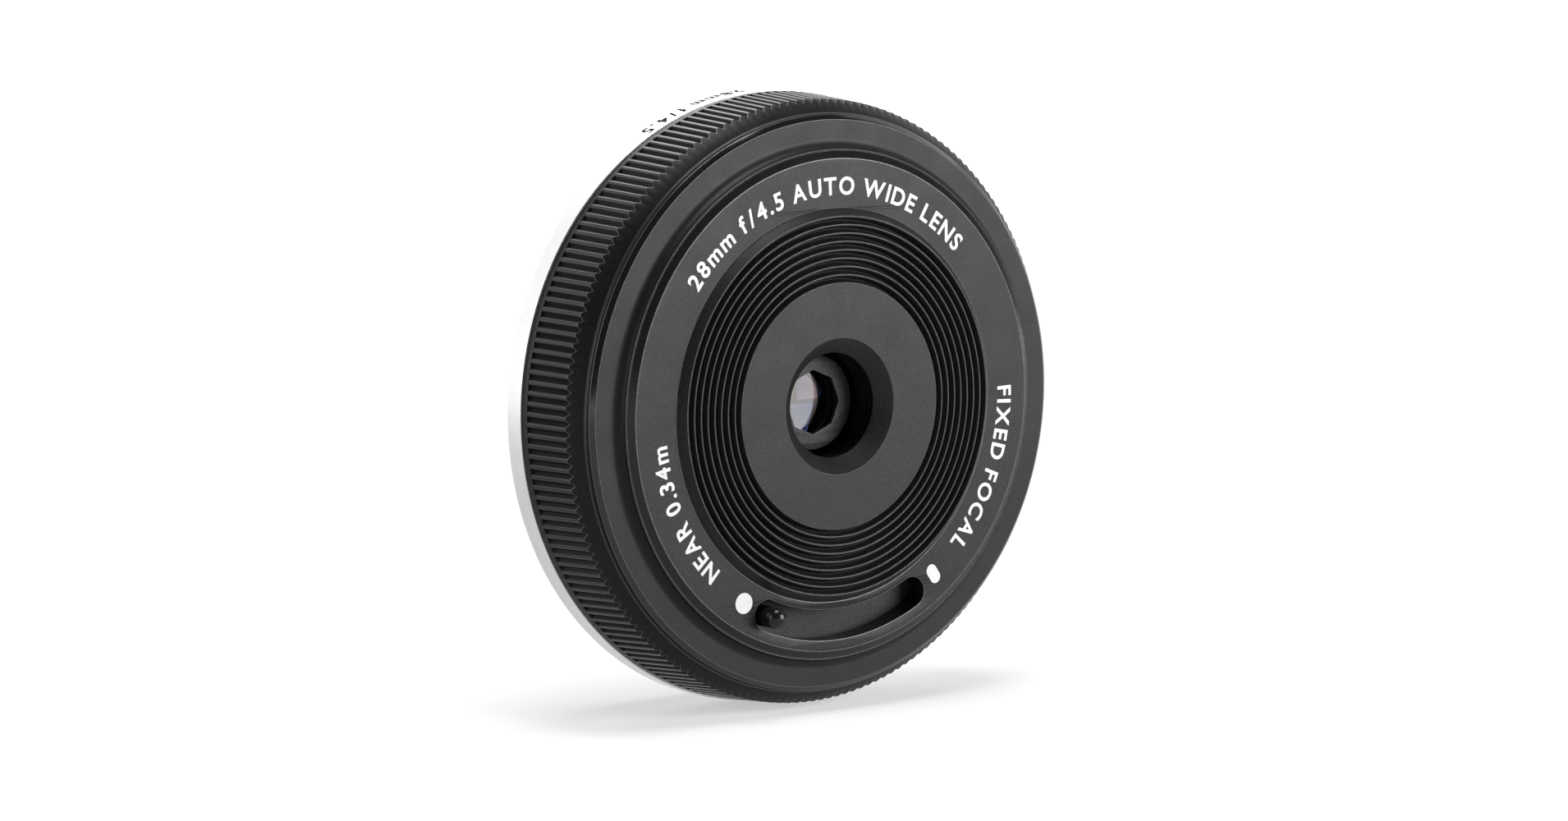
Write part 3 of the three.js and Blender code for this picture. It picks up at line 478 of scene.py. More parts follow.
def turned_metal(name, colour, rough):
    """Metal turned on a lathe: fine circular lines about the optical axis."""
    m = Nodes(name)
    m.set(Metallic=1.0)
    lines = m.noise(9000, 2.0, at=m.lathe_place())
    stops = [(0.35, shaded(colour, 0.93)), (0.65, colour)]
    return m.skin(m.noise(180, 2.0), stops, rough, 0.05, lines, 0.25, 0.000004, lines)


def satin_anodised(name, tone, rough):
    """Silver anodised aluminium with a fine blasted satin."""
    m = Nodes(name)
    m.set(Metallic=0.85)
    stops = [(0.3, grey(tone * 0.96, -0.004)), (0.7, grey(tone, -0.004))]
    return m.skin(m.noise(300, 3.0), stops, rough, 0.05, m.noise(2500, 2.0),
                  0.25, 0.00001, m.noise(9000, 2.0))


def brushed_metal(name, colour, rough):
    """Drawn or rolled metal with a short grain."""
    m = Nodes(name)
    m.set(Metallic=1.0)
    stretched = m.add("ShaderNodeMapping", {"Vector": m.place, "Scale": (1, 12, 1)})
    grain = m.noise(1200, 3.0, at=stretched.outputs["Vector"])
    stops = [(0.3, shaded(colour, 0.85)), (0.7, colour)]
    return m.skin(grain, stops, rough, 0.07, grain, 0.15, 0.00001, grain)


def coated_glass(name, film):
    """Polished optical glass with an anti-reflection film of a thickness in nanometres."""
    m = Nodes(name)
    m.set(Transmission_Weight=1.0, IOR=1.6, Roughness=0.0, Thin_Film_Thickness=film,
          Thin_Film_IOR=1.38)
    m.set(Base_Color=m.ramp(m.noise(900, 4.0), [(0.3, grey(0.77)), (0.75, grey(0.84))]))
    return m.material


def copper_winding(name):
    """Rows of enamelled wire, side by side."""
    m = Nodes(name)
    m.set(Metallic=0.9)
    wires = m.bands(2600, 0.6)
    stops = [(0.1, (0.22, 0.07, 0.02)), (0.7, (0.72, 0.32, 0.14))]
    return m.skin(wires, stops, 0.325, 0.075, m.noise(900), 0.8, 0.00003, wires)


def circuit_board(name):
    """Green solder mask over copper tracks."""
    m = Nodes(name)
    cells = m.add("ShaderNodeTexVoronoi", {"Vector": m.place, "Scale": 700},
                  feature="DISTANCE_TO_EDGE", distance="CHEBYCHEV")
    tracks = cells.outputs["Distance"]
    stops = [(0.03, (0.03, 0.16, 0.08)), (0.06, (0.012, 0.075, 0.035))]
    return m.skin(tracks, stops, 0.375, 0.075, m.noise(400), 0.25, 0.00002, tracks)


def polyimide_film(name):
    """Amber film with copper tracks showing through."""
    m = Nodes(name)
    tracks = m.bands(500, 0.0)
    stops = [(0.45, (0.36, 0.14, 0.02)), (0.6, (0.55, 0.25, 0.05))]
    return m.skin(tracks, stops, 0.35, 0.07, m.noise(500), 0.2, 0.00001, tracks)


def enamel(name, colour, rough=0.35, gloss=0.5):
    """Filled paint, slightly uneven where it settled."""
    m = Nodes(name)
    m.set(Specular_IOR_Level=gloss)
    cloud = m.noise(1500, 2.0)
    stops = [(0.3, shaded(colour, 0.94)), (0.7, colour)]
    middle = rough + 0.015
    return m.skin(cloud, stops, middle, 0.065, cloud, 0.15, 0.00001, m.noise(2500, 2.0))


# The numbers are tone and roughness, then sparkle, relief and gloss.
BLACK = anodised("black_anodised", 0.019, 0.42)
BLACK_BEZEL = anodised("black_anodised_bezel", 0.014, 0.43)
# Broken edges, the grip's crest shoulders and the stop's edges: a lighter anodise that is partly edge wear and
# partly a painted highlight.
EDGE_WEAR_AND_HIGHLIGHT = anodised("black_anodised_edge", 0.055, 0.26, 0.3, 0.3, 0.5)
# A painted highlight: the broken edges of the front cap, name ring and bezel, seven times lighter than the
# anodise.
EDGE_PAINTED_HIGHLIGHT = anodised("black_anodised_bright_edge", 0.14, 0.24, 0.3, 0.3, 0.5)
# Darker anodise for the grip and the inner parts; in the bezel's cove and on the name ring's slot walls it is
# painted shade.
DARK_ANODISE_AND_SHADE = anodised("black_anodised_turned", 0.007, 0.40, 0.5, 0.4, 0.28)
# Painted shade in the grooves of the cap's ribs and of the grip's knurl.
GROOVE_PAINTED_SHADE = anodised("black_anodised_groove", 0.004, 0.5, 0.4, 0.3, 0.12)
BLACK_STOP = anodised("black_anodised_stop", 0.045, 0.45)
# Painted light: a lighter anodise on the front cap's mouth wall and on the cover ring seen through the lever slot.
ANODISE_PAINTED_LIGHT = anodised("black_anodised_mouth", 0.034, 0.45)
BLACK_TURNED = anodised("black_anodised_turned_bright", 0.010, 0.24, 0.3, 0.15, 0.45)
BLACK_BEVEL = anodised("black_anodised_bevel", 0.010, 0.13, 0.3, 0.1, 0.8)
LEVER_BLACK = anodised("lever_satin_black", 0.010, 0.26, 0.3, 0.15, 0.5)
PLASTIC = moulded_plastic("black_moulding", 0.012, 0.55)
FLOCK = moulded_plastic("light_trap_black", 0.006, 0.85)
SILVER = satin_anodised("silver_anodised", 0.95, 0.34)
MOUNT_METAL = turned_metal("mount_plate_metal", (0.55, 0.55 * 0.985, 0.55 * 0.96), 0.22)
STEEL = brushed_metal("steel", (0.56, 0.565, 0.58), 0.3)
MAGNET = brushed_metal("nickel_plate", (0.62, 0.6, 0.55), 0.22)
COPPER = copper_winding("copper_winding")
BOARD = circuit_board("circuit_board")
FILM = polyimide_film("polyimide_film")
GOLD = brushed_metal("gold_plate", (0.9, 0.62, 0.24), 0.2)
RED = enamel("red_enamel", (0.55, 0.02, 0.025))
WHITE = enamel("white_marking", (1.0, 1.0, 1.0), 0.45)
SATIN_PLASTIC = moulded_plastic("satin_black_moulding", 0.018, 0.42)
PAINTED_RIM = enamel("black_rim_paint", (0.012, 0.012, 0.012), 0.6)
INK = enamel("black_marking", (0.008, 0.008, 0.008), 0.8, 0.1)
GLASS_FRONT = coated_glass("coated_glass_front", 105.0)
GLASS_INNER = coated_glass("coated_glass_inner", 120.0)

CAD_FINISH = {
    "black_plastic": PLASTIC, "steel": STEEL, "copper": COPPER, "magnet": MAGNET,
    "circuit_board": BOARD, "film": FILM, "black_anodised": DARK_ANODISE_AND_SHADE, "optical_glass": GLASS_INNER,
    "gold": GOLD, "red_enamel": RED, "silver_anodised": SILVER, "mount_steel": MOUNT_METAL,
    "lever_black": LEVER_BLACK,
}
for node_name, cad_object in frame["nodes"].items():
    cad_object.data.materials.clear()
    cad_object.data.materials.append(CAD_FINISH[SLOT_OF[node_name]])

# ---------- front cap: plain disc, eight ribs, conical mouth ----------

DISC_R = 12.0
RIB_OUTER_R = 18.45
RIB_COUNT = 8
RIB_CREST = 0.13
GROOVE_DEEP = 0.8
GROOVE_FLOOR = 0.18
MOUTH_R = 6.65
THROAT_R = 5.12
THROAT_LAND = 0.15  # the length of the throat's straight part
CAP_REAR = depths("front_cap")[1]
NAME_INNER_R = 19.12
SEAT_GAP = 0.05  # between two seated parts
BELOW_FACE = 0.04  # faces deeper than this are below the front face and its edges


def front_cap():
    pitch = (RIB_OUTER_R - DISC_R) / RIB_COUNT
    profile = [(THROAT_R, CAP_REAR), (THROAT_R, CAP_REAR - THROAT_LAND), (MOUTH_R, 0), (DISC_R, 0)]
    for i in range(RIB_COUNT):
        start = DISC_R + i * pitch
        middle = start + (pitch - RIB_CREST) / 2
        profile += [
            (middle - GROOVE_FLOOR / 2, GROOVE_DEEP), (middle + GROOVE_FLOOR / 2, GROOVE_DEEP),
            (start + pitch - RIB_CREST, 0), (start + pitch, 0),
        ]
    wall_r = NAME_INNER_R - SEAT_GAP
    profile += [(wall_r, NAME_FACE - SEAT_GAP), (wall_r, CAP_REAR)]
    shape = turned(profile, radius=FINE_EDGE)
    # Painted shade in the rib grooves, painted light on the mouth's wall, and a painted highlight on the broken
    # edges.
    shape = refinish(shape, THIRD, lambda r, d: DISC_R < r < RIB_OUTER_R and d > BELOW_FACE)
    shape = refinish(shape, FOURTH, lambda r, d: r < MOUTH_R and d > BELOW_FACE)
    materials = (BLACK, EDGE_PAINTED_HIGHLIGHT, GROOVE_PAINTED_SHADE, ANODISE_PAINTED_LIGHT)
    piece("front_cap", "turned", [shape], materials)


front_cap()

# ---------- name ring: lettered face, arc slot for the lever ----------

NAME_R = 24.7
NAME_CHAMFER = 0.73
NAME_CHAMFER_END = 1.2
SLOT_R = 21.4
SLOT_HALF_WIDTH = 1.5
LEVER_ANGLE = 247.2
COVER_TRAVEL = joint_end("cover_turn")


def name_ring():
    outer = [  # the chamfer, with both of its edges broken
        (NAME_CHAMFER + EDGE, NAME_FACE), (NAME_CHAMFER + 0.005, NAME_FACE + 0.012),
        (NAME_CHAMFER - 0.03, NAME_FACE + 0.035), (0.04, NAME_CHAMFER_END - 0.025),
        (0.01, NAME_CHAMFER_END), (0, NAME_CHAMFER_END + 0.04), (0, NAME_REAR),
    ]
    slot_line = arc(SLOT_R, LEVER_ANGLE, LEVER_ANGLE + COVER_TRAVEL, 60)
    slot = slot_loop(slot_line, SLOT_HALF_WIDTH, 24)
    edges = broken_edges(NAME_FACE, NAME_REAR)
    holes = [(circle(NAME_INNER_R, SEGMENTS), edges), (slot, edges)]
    ring = plate(circle(NAME_R, SEGMENTS), outer, holes)

    def on_chamfer(radius, depth):
        past_face = radius > NAME_R - NAME_CHAMFER + 0.02
        return past_face and NAME_FACE + 0.03 < depth < NAME_CHAMFER_END

    def in_slot(radius, depth):
        return abs(radius - SLOT_R) < SLOT_HALF_WIDTH + EDGE and depth > NAME_FACE + 0.001

    # Painted shade on the slot's walls and a painted highlight on the broken edges.
    ring = refinish(refinish(ring, THIRD, on_chamfer), FOURTH, in_slot)
    materials = (BLACK, EDGE_PAINTED_HIGHLIGHT, BLACK_TURNED, DARK_ANODISE_AND_SHADE)
    piece("name_ring", "machined", [ring], materials)


name_ring()

# ---------- bezel ring: coved inner edge, flat face, bevelled outer edge ----------

COVE_R = 1.0
COVE_START_R = 24.82
COVE_LIP = 0.12  # the part of the cove next to the flat face, which keeps the face's colour without the painted shade
BEZEL_BORE_R = COVE_START_R - 0.07
COVE_FRONT, BEZEL_REAR = depths("bezel_ring")
BEZEL_FACE = COVE_FRONT + COVE_R
BEZEL_FACE_R = 27.62
BEZEL_RIM_R = BEZEL_OUTER_R + 0.08
BEVEL_END = 2.6
SHELF_R = 23.75
SHELF_DEPTH = 2.95


def bezel_ring():
    steps = 14
    turn = [math.pi / 2 * i / steps for i in range(steps + 1)]
    cove = [
        (COVE_START_R + COVE_R * (1 - math.cos(a)), BEZEL_FACE - COVE_R + COVE_R * math.sin(a))
        for a in turn
    ]
    profile = [(BEZEL_BORE_R, BEZEL_FACE - COVE_R), *cove, (BEZEL_FACE_R, BEZEL_FACE),
               (BEZEL_RIM_R, BEVEL_END), (BEZEL_RIM_R, BEZEL_REAR), (SHELF_R, BEZEL_REAR),
               (SHELF_R, SHELF_DEPTH), (BEZEL_BORE_R, SHELF_DEPTH)]
    shape = turned(profile)
    shape = refinish(shape, THIRD, lambda r, d: r > BEZEL_FACE_R + PICK and d < BEVEL_END)
    # Painted shade over the cove past its lip, and a painted highlight on the broken edges.
    cove_end = COVE_START_R + COVE_R + PICK
    shape = refinish(shape, FOURTH, lambda r, d: r < cove_end and BEZEL_FACE + COVE_LIP < d)
    materials = (BLACK_BEZEL, EDGE_PAINTED_HIGHLIGHT, BLACK_BEVEL, DARK_ANODISE_AND_SHADE)
    piece("bezel_ring", "turned", [shape], materials)


bezel_ring()

# ---------- grip: 185 milled grooves that run out on the front cone ----------

TOOTH_COUNT = 185
GROOVE_DEPTH = 0.28
CONE_R = 28.22
CONE_FRONT = 3.15
CONE_REAR = 4.52
CREST_FRONT_R = 29.52  # the crests taper from here up to GRIP_R
GROOVE_REAR = 10.02
GRIP_BORE_R = 28.12
GRIP_FRONT = 2.95
GROOVE_SHORTER = 0.4  # how much earlier a groove ends, per depth of cut
EDGE_STEPS = (2, 3, 5, 6)  # steps of grip_line() that are broken edges
GROOVE_STEPS = (6, 7, 8)  # steps that lie along a groove
CREST_EDGES = (2, 8)  # places in tooth_section()
GROOVE_WALLS = (0, 1, 9, 10)


def tooth_section():
    """One pitch of the knurl: (share of the pitch, share of the groove's depth cut there)."""
    half = [(-0.5, 1.0), (-0.46, 0.97), (-0.2, 0.19), (-0.17, 0.12), (-0.12, 0.05), (-0.06, 0.01)]
    return half + [(-share, cut) for share, cut in reversed(half[1:])]


def grip_line(cut):
    """The grip's half section, as (radius, depth), where its surface is cut this deep."""
    cone = (CREST_FRONT_R - CONE_R) / (CONE_REAR - CONE_FRONT)  # radius gained per depth
    taper = (GRIP_R - CREST_FRONT_R) / (GROOVE_REAR - CONE_REAR)
    run_out = CONE_REAR - cut / (cone - taper)
    top = CREST_FRONT_R - cut + taper * (run_out - CONE_REAR)
    end = GROOVE_REAR - GROOVE_SHORTER * cut
    return [
        (GRIP_BORE_R, GRIP_FRONT), (GRIP_BORE_R + 0.02, GRIP_FRONT - 0.09),
        (CONE_R - 0.04, CONE_FRONT - 0.04), (CONE_R, CONE_FRONT), (CONE_R + 0.06, CONE_FRONT + 0.03),
        (top - 0.06, run_out - 0.06 / cone), (top - 0.015, run_out - 0.004), (top, run_out + 0.05),
        (GRIP_R - cut, end), (GRIP_R - cut * 0.1, GROOVE_REAR), (GRIP_R, GROOVE_REAR + 0.03),
        (GRIP_R, GRIP_REAR - 0.06), (GRIP_R - 0.02, GRIP_REAR - 0.02), (GRIP_R - 0.06, GRIP_REAR),
        (GRIP_BORE_R, GRIP_REAR),
    ]


def grip_finish(step, part):
    """The finish of a face from its step of grip_line() and its part of tooth_section()."""
    # Broken edges and crest shoulders get a painted highlight; groove walls and floors get painted shade.
    if step in EDGE_STEPS or step in GROOVE_STEPS and part in CREST_EDGES:
        return BROKEN
    if step in GROOVE_STEPS:
        return THIRD if part in GROOVE_WALLS else FOURTH
    return PLAIN


def knurled_grip():
    section = tooth_section()
    corners, faces = [], []
    for i in range(TOOTH_COUNT):
        for share, cut in section:
            angle = 360 * (i + share) / TOOTH_COUNT
            corners += [(*polar(r, angle), d) for r, d in grip_line(GROOVE_DEPTH * cut)]
    count = TOOTH_COUNT * len(section)
    rows = len(corners) // count
    for i in range(count):
        j = (i + 1) % count
        for k in range(rows):
            n = (k + 1) % rows
            corner_numbers = (i * rows + k, j * rows + k, j * rows + n, i * rows + n)
            faces.append((corner_numbers, grip_finish(k, i % len(section))))
    materials = (DARK_ANODISE_AND_SHADE, EDGE_WEAR_AND_HIGHLIGHT, GROOVE_PAINTED_SHADE, BLACK_TURNED)
    piece("grip_barrel", "knurled", [(corners, faces)], materials, sharp=48)


knurled_grip()

# ---------- silver rear barrel ----------


def rear_barrel():
    bore, lip, lip_depth, bevel = GRIP_BORE_R - 0.26, 22.4, 12.5, 0.15
    profile = [(bore, SILVER_FRONT), (SILVER_R, SILVER_FRONT), (SILVER_R, SILVER_REAR - bevel),
               (SILVER_R - bevel, SILVER_REAR), (lip, SILVER_REAR), (lip, lip_depth), (bore, lip_depth)]
    piece("rear_barrel", "turned", [turned(profile)], (SILVER,))


rear_barrel()

# ---------- lettering and marks: generic wording only ----------

CAP_HEIGHT = 1.74
LETTER_R = 21.36
STROKE_GAP = 0.36  # between two letters
WORD_GAP = 1.15
MARK_LIFT = 0.012
BOLD = 0.06  # how far strokes are thickened on each side
FONT_PER_CAP = 1.37  # font size per cap height
DOT_AT_R = 21.42
BAR_AT_R = 21.45


def glyph(letter, height):
    """A letter's flat outline as corners and faces, scaled to a cap height, with its width."""
    text = bpy.data.curves.new("glyph", "FONT")
    text.body = letter
    text.size = height * FONT_PER_CAP
    text.offset = BOLD
    text.resolution_u = 5
    holder = new_object("glyph", text)
    bpy.context.view_layer.update()
    shape = holder.evaluated_get(bpy.context.evaluated_depsgraph_get()).to_mesh()
    points = [(v.co.x, v.co.y) for v in shape.vertices]
    faces = [tuple(p.vertices) for p in shape.polygons]
    bpy.data.objects.remove(holder)
    left = min(x for x, _ in points)
    width = max(x for x, _ in points) - left
    return [(x - left, y) for x, y in points], faces, width


def line_of_text(words, height, bend):
    """Letters side by side. bend(u, v) places a point; u runs from the line's middle."""
    placed, along = [], 0.0
    for letter in words:
        if letter == " ":
            along += WORD_GAP - STROKE_GAP
            continue
        points, faces, width = glyph(letter, height)
        placed.append((along, points, faces))
        along += width + STROKE_GAP
    length = along - STROKE_GAP
    corners, out = [], []
    for start, points, faces in placed:
        base = len(corners)
        corners += [bend(start + x - length / 2, y - height / 2) for x, y in points]
        out += [(tuple(base + i for i in face), PLAIN) for face in faces]
    return corners, out


def on_name_ring(middle_angle):
    def bend(u, v):
        x, z = polar(LETTER_R + v, middle_angle - math.degrees(u / LETTER_R))
        return (x, z, NAME_FACE - MARK_LIFT)
    return bend


def on_silver_ring(middle_angle):
    middle = (SILVER_FRONT + SILVER_REAR) / 2

    def bend(u, v):
        x, z = polar(SILVER_R + MARK_LIFT, middle_angle + math.degrees(u / SILVER_R))
        return (x, z, middle - v)
    return bend


def flat_mark(outline):
    """A filled mark on the name ring."""
    near = NAME_FACE - MARK_LIFT
    return plate(outline, [(0.01, near), (0, near + 0.008), (0, NAME_FACE + 0.02)])


def markings():
    dot_r, dot_angle = 1.025, 238.7
    bar_half_width, bar_half_run, bar_angle = 0.64, 0.385, 305.1
    dot = circle(dot_r, PIN_SEGMENTS, polar(DOT_AT_R, dot_angle))
    bar_ends = [polar(BAR_AT_R + run, bar_angle) for run in (-bar_half_run, bar_half_run)]
    bar = slot_loop(bar_ends, bar_half_width)
    shapes = [
        line_of_text("28mm f/4.5 AUTO WIDE LENS", CAP_HEIGHT, on_name_ring(93.8)),
        line_of_text("NEAR 0.34m", CAP_HEIGHT, on_name_ring(206.7)),
        line_of_text("FIXED FOCAL", CAP_HEIGHT, on_name_ring(338)),
        flat_mark(dot), flat_mark(bar),
    ]
    piece("name_ring", "marks", shapes, (WHITE,), extra_slot="marking_white")
    ring_text = line_of_text("28mm f/4.5", 1.5, on_silver_ring(107))
    piece("rear_barrel", "lettering", [ring_text], (INK,), extra_slot="black_plastic")


markings()

# ---------- cover lever, its ring, the two blades and the plate they swing on ----------

PIVOT = centre("pivot_pin_upper")
OPEN_PIN = centre("blade_pin_upper")
BLADE_PIN_R = bottom_radius("blade_pin_upper") + OPEN_PIN[1]
BLADE_SWING = joint_end("blade_upper_swing")
HALF_TURNS = {"upper": 0, "lower": 180}  # the lower blade is the upper one turned about the axis
RUNNING_GAP = 0.08  # round a pin
COVER_RING_INNER_R = 12.2
LEVER_PIN_R = 1.04
LEVER_AT_R = SLOT_R + 0.1
BLADE_COVER_R = 6.3
BLADE_BOSS_R = 1.8
BLADE_TAIL_R = 1.2
BLADE_SPLIT = 0.05  # half the gap between the closed blades
BLADE_LAP = -0.15  # each blade has a half-thick lip that covers the gap: one in front, one behind
BLADE_REBATE = 0.25  # where the other blade's lip lies
PIVOT_PIN_R = 0.6


def cam_slot():
    """The track that a blade's pin makes on the cover ring as the ring turns."""
    steps = 30
    track = []
    for i in range(steps + 1):
        share = i / steps
        pin = turn_point(OPEN_PIN, share * BLADE_SWING, PIVOT)
        track.append(turn_point(pin, -share * COVER_TRAVEL))
    return slot_loop(track, BLADE_PIN_R + RUNNING_GAP)


def domed_pin(radius, tip, foot):
    """A pin with a ball end and a small flange at its foot."""
    flange, steps = 0.28, 10
    turn = [math.pi / 2 * i / steps for i in range(1, steps + 1)]
    profile = [(0, tip)] + [(radius * math.sin(a), tip + radius * (1 - math.cos(a))) for a in turn]
    return profile + [(radius, foot - 0.35), (radius + flange, foot - 0.25), (radius + flange, foot),
                      (0, foot)]


def cover_parts():
    near, far = depths("cover_ring")
    tip = depths("lever_pin")[0]
    lever_at = polar(LEVER_AT_R, LEVER_ANGLE)
    lever = turned(domed_pin(LEVER_PIN_R, tip, near), PIN_SEGMENTS, lever_at)
    piece("lever_pin", "turned", [lever], (LEVER_BLACK,), sharp=50)
    edges = broken_edges(near, far)
    holes = [(circle(COVER_RING_INNER_R, SEGMENTS), edges)]
    holes += [(turn_loop(cam_slot(), half), edges) for half in HALF_TURNS.values()]
    ring = plate(circle(bottom_radius("cover_ring"), SEGMENTS), edges, holes)
    # The whole ring takes the lighter anodise, as painted light on the floor seen through the lever slot.
    piece("cover_ring", "machined", [ring], (ANODISE_PAINTED_LIGHT,))


def blade_outline(split):
    """A blade in its closed place: half a disc, an arm to the pivot and a tail to the pin."""
    pin = turn_point(OPEN_PIN, BLADE_SWING, PIVOT)
    line = [(-BLADE_COVER_R, split), (BLADE_COVER_R, split), (BLADE_COVER_R + 0.5, BLADE_SPLIT),
            (PIVOT[0] - BLADE_BOSS_R, BLADE_SPLIT)]
    line += arc(BLADE_BOSS_R, 200, 360, 24, PIVOT)
    line += [(PIVOT[0] + BLADE_TAIL_R, pin[1])] + arc(BLADE_TAIL_R, 30, 180, 24, pin)
    line += [(12.6, 3.2), (10.2, 4.05), (7.5, 4.4)]  # the arm's outer edge
    return line + arc(BLADE_COVER_R, 55, 170, 48)


def blades():
    near, far = depths("cover_blade_upper")
    middle = (near + far) / 2
    layers = [(near, middle - 0.01), (middle - 0.02, far)], [(near, middle + 0.02), (middle + 0.01, far)]
    for (side, half), side_layers in zip(HALF_TURNS.items(), layers):
        splits = (BLADE_LAP, BLADE_REBATE) if side == "upper" else (BLADE_REBATE, BLADE_LAP)
        shapes = []
        for (layer_near, layer_far), split in zip(side_layers, splits):
            edges = broken_edges(layer_near, layer_far, 0.02)

            def place(loop):
                return turn_loop(turn_loop(loop, -BLADE_SWING, PIVOT), half)
            hole = (place(circle(PIVOT_PIN_R + RUNNING_GAP, PIN_SEGMENTS, PIVOT)), edges)
            shapes.append(plate(place(blade_outline(split)), edges, [hole]))
        piece(f"cover_blade_{side}", "stamped", shapes, (SATIN_PLASTIC,))


def straight_pins():
    """Plain ground pins with broken edges: pivots, blade pins and guide rods."""
    radii = {"pivot_pin": PIVOT_PIN_R, "blade_pin": BLADE_PIN_R, "guide_rod": PIVOT_PIN_R}
    for kind, radius in radii.items():
        for side in HALF_TURNS:
            node = f"{kind}_{side}"
            near, far = depths(node)
            profile = [(0, near), (radius, near), (radius, far), (0, far)]
            pin = turned(profile, PIN_SEGMENTS, centre(node), 0.08)
            piece(node, "ground", [pin], (STEEL,))


PLATE_FRONT = 2.1
PLATE_BORE_R = 5.3
COLLAR_R = 5.9
PAD_R = 1.4
PAD_BORE_R = 0.55
PAD_SINK = 0.1  # how far the collar and the pads reach into the plate
PLATE_OUTER_R = 18.95
PLATE_THICK = 0.5
SWEEP_GAP = 0.25


def shutter_plate():
    near, far = PLATE_FRONT, PLATE_FRONT + PLATE_THICK
    pads_front, collar_rear = depths("shutter_plate")
    edges = broken_edges(near, far)
    arm = math.dist(PIVOT, OPEN_PIN)
    sweep = slot_loop(arc(arm, 90 - BLADE_SWING, 90, 16, PIVOT), BLADE_PIN_R + SWEEP_GAP)
    holes = [(circle(PLATE_BORE_R, SMALL_SEGMENTS), edges)]
    holes += [(turn_loop(sweep, half), edges) for half in HALF_TURNS.values()]
    flat = plate(circle(PLATE_OUTER_R, SEGMENTS), edges, holes)
    sunk = near + PAD_SINK
    collar = turned([(PLATE_BORE_R, near), (COLLAR_R, sunk), (COLLAR_R, collar_rear),
                     (PLATE_BORE_R, collar_rear)], SMALL_SEGMENTS)
    pad = [(PAD_BORE_R, pads_front), (PAD_R, pads_front), (PAD_R, sunk), (PAD_BORE_R, sunk)]
    pads = [turned(pad, PIN_SEGMENTS, centre(f"cap_screw_{i}")) for i in (1, 2, 3)]
    piece("shutter_plate", "moulded", [flat, collar, *pads], (PLASTIC,))


cover_parts()
blades()
straight_pins()
shutter_plate()

# ---------- screws: cross recess in a flat head that faces rearward ----------

CROSS_REACH = 0.62  # shares of the head's radius
CROSS_HALF_WIDTH = 0.17
RECESS_SHARE = 0.45  # of the head's height


def cross_loop(reach, half_width, middle):
    quarter = [(reach, -half_width), (reach, half_width), (half_width, half_width)]
    loop = [turn_point(p, 90 * k) for k in range(4) for p in quarter]
    return [(middle[0] + x, middle[1] + z) for x, z in loop]


def screw(node, head_r, head_front, shank_r):
    at, (near, far) = centre(node), depths(node)
    recess_floor = far - RECESS_SHARE * (far - head_front)
    rim = [(0.05, head_front), (0, head_front + 0.05), (0, far - 0.12), (0.03, far - 0.05), (0.1, far)]
    cross_outline = cross_loop(CROSS_REACH * head_r, CROSS_HALF_WIDTH * head_r, at)
    cross = (cross_outline, [(-0.05, recess_floor), (0, far)])
    head = plate(circle(head_r, PIN_SEGMENTS, at), rim, pits=[cross])
    shank = turned([(0, near), (shank_r, near), (shank_r, head_front + 0.02), (0, head_front + 0.02)],
                   PIN_SEGMENTS, at, 0.1)
    piece(node, "turned", [head, shank], (STEEL,))


# node, head radius, depth of the head's front, shank radius
for number in (1, 2, 3):
    screw(f"cap_screw_{number}", 1.1, 2.62, 0.48)
    screw(f"front_screw_{number}", 0.85, 5.07, 0.55)
for number in (1, 2, 3, 4):
    screw(f"mount_screw_{number}", 1.5, 14.35, 0.75)

# ---------- focusing cell, stop and the six elements ----------

STOP_CORNER_R = 3.18
STOP_SIDES = 8
NOSE_R = 4.61
CELL_R = 9.6
EAR_DEPTHS = (7.8, 10.4)
EAR_HALF_WIDTH = 1.7
ARM_DEPTHS = (8.2, 10.2)
ARM_HALF_HEIGHT = 3.4
INTO_CELL = 0.6  # how far the ears and arms reach into the cell's wall


def stop_plate():
    octagon = circle(STOP_CORNER_R, STOP_SIDES)
    edges = broken_edges(*depths("aperture_plate"), FINE_EDGE)
    stop = plate(circle(NOSE_R, SMALL_SEGMENTS), edges, [(octagon, edges)])
    piece("aperture_plate", "stamped", [stop], (BLACK_STOP, EDGE_WEAR_AND_HIGHLIGHT))


def focus_cell():
    near, far = depths("focus_cell")
    step = 6.65  # depth where the nose meets the body
    seats = [(8.35, 12.5), (7.05, 10.75), (5.3, 9.45)]  # bores for the elements, and their floors
    bore = 3.75
    profile = [(bore, near), (NOSE_R, near), (NOSE_R, step), (CELL_R, step), (CELL_R, far),
               (seats[0][0], far)]
    for (radius, floor), next_radius in zip(seats, (seats[1][0], seats[2][0], bore)):
        profile += [(radius, floor), (next_radius, floor)]
    shapes = [turned(profile, SMALL_SEGMENTS)]
    rod_hole = PIVOT_PIN_R + RUNNING_GAP
    for side in HALF_TURNS:
        at = centre(f"guide_rod_{side}")
        angle = math.degrees(math.atan2(at[1], at[0]))
        ear = slot_loop([polar(CELL_R - INTO_CELL, angle), at], EAR_HALF_WIDTH)
        edges = broken_edges(*EAR_DEPTHS)
        shapes.append(plate(ear, edges, [(circle(rod_hole, PIN_SEGMENTS, at), edges)]))
    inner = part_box("drive_coil_right")[0].x / MM - 0.02
    arm, faces = block(CELL_R - INTO_CELL, inner, *ARM_DEPTHS, -ARM_HALF_HEIGHT, ARM_HALF_HEIGHT)
    opposite_arm = [(-x, -z, d) for x, z, d in arm]
    shapes += [(arm, faces), (opposite_arm, faces)]
    piece("focus_cell", "turned", shapes, (DARK_ANODISE_AND_SHADE, EDGE_WEAR_AND_HIGHLIGHT))


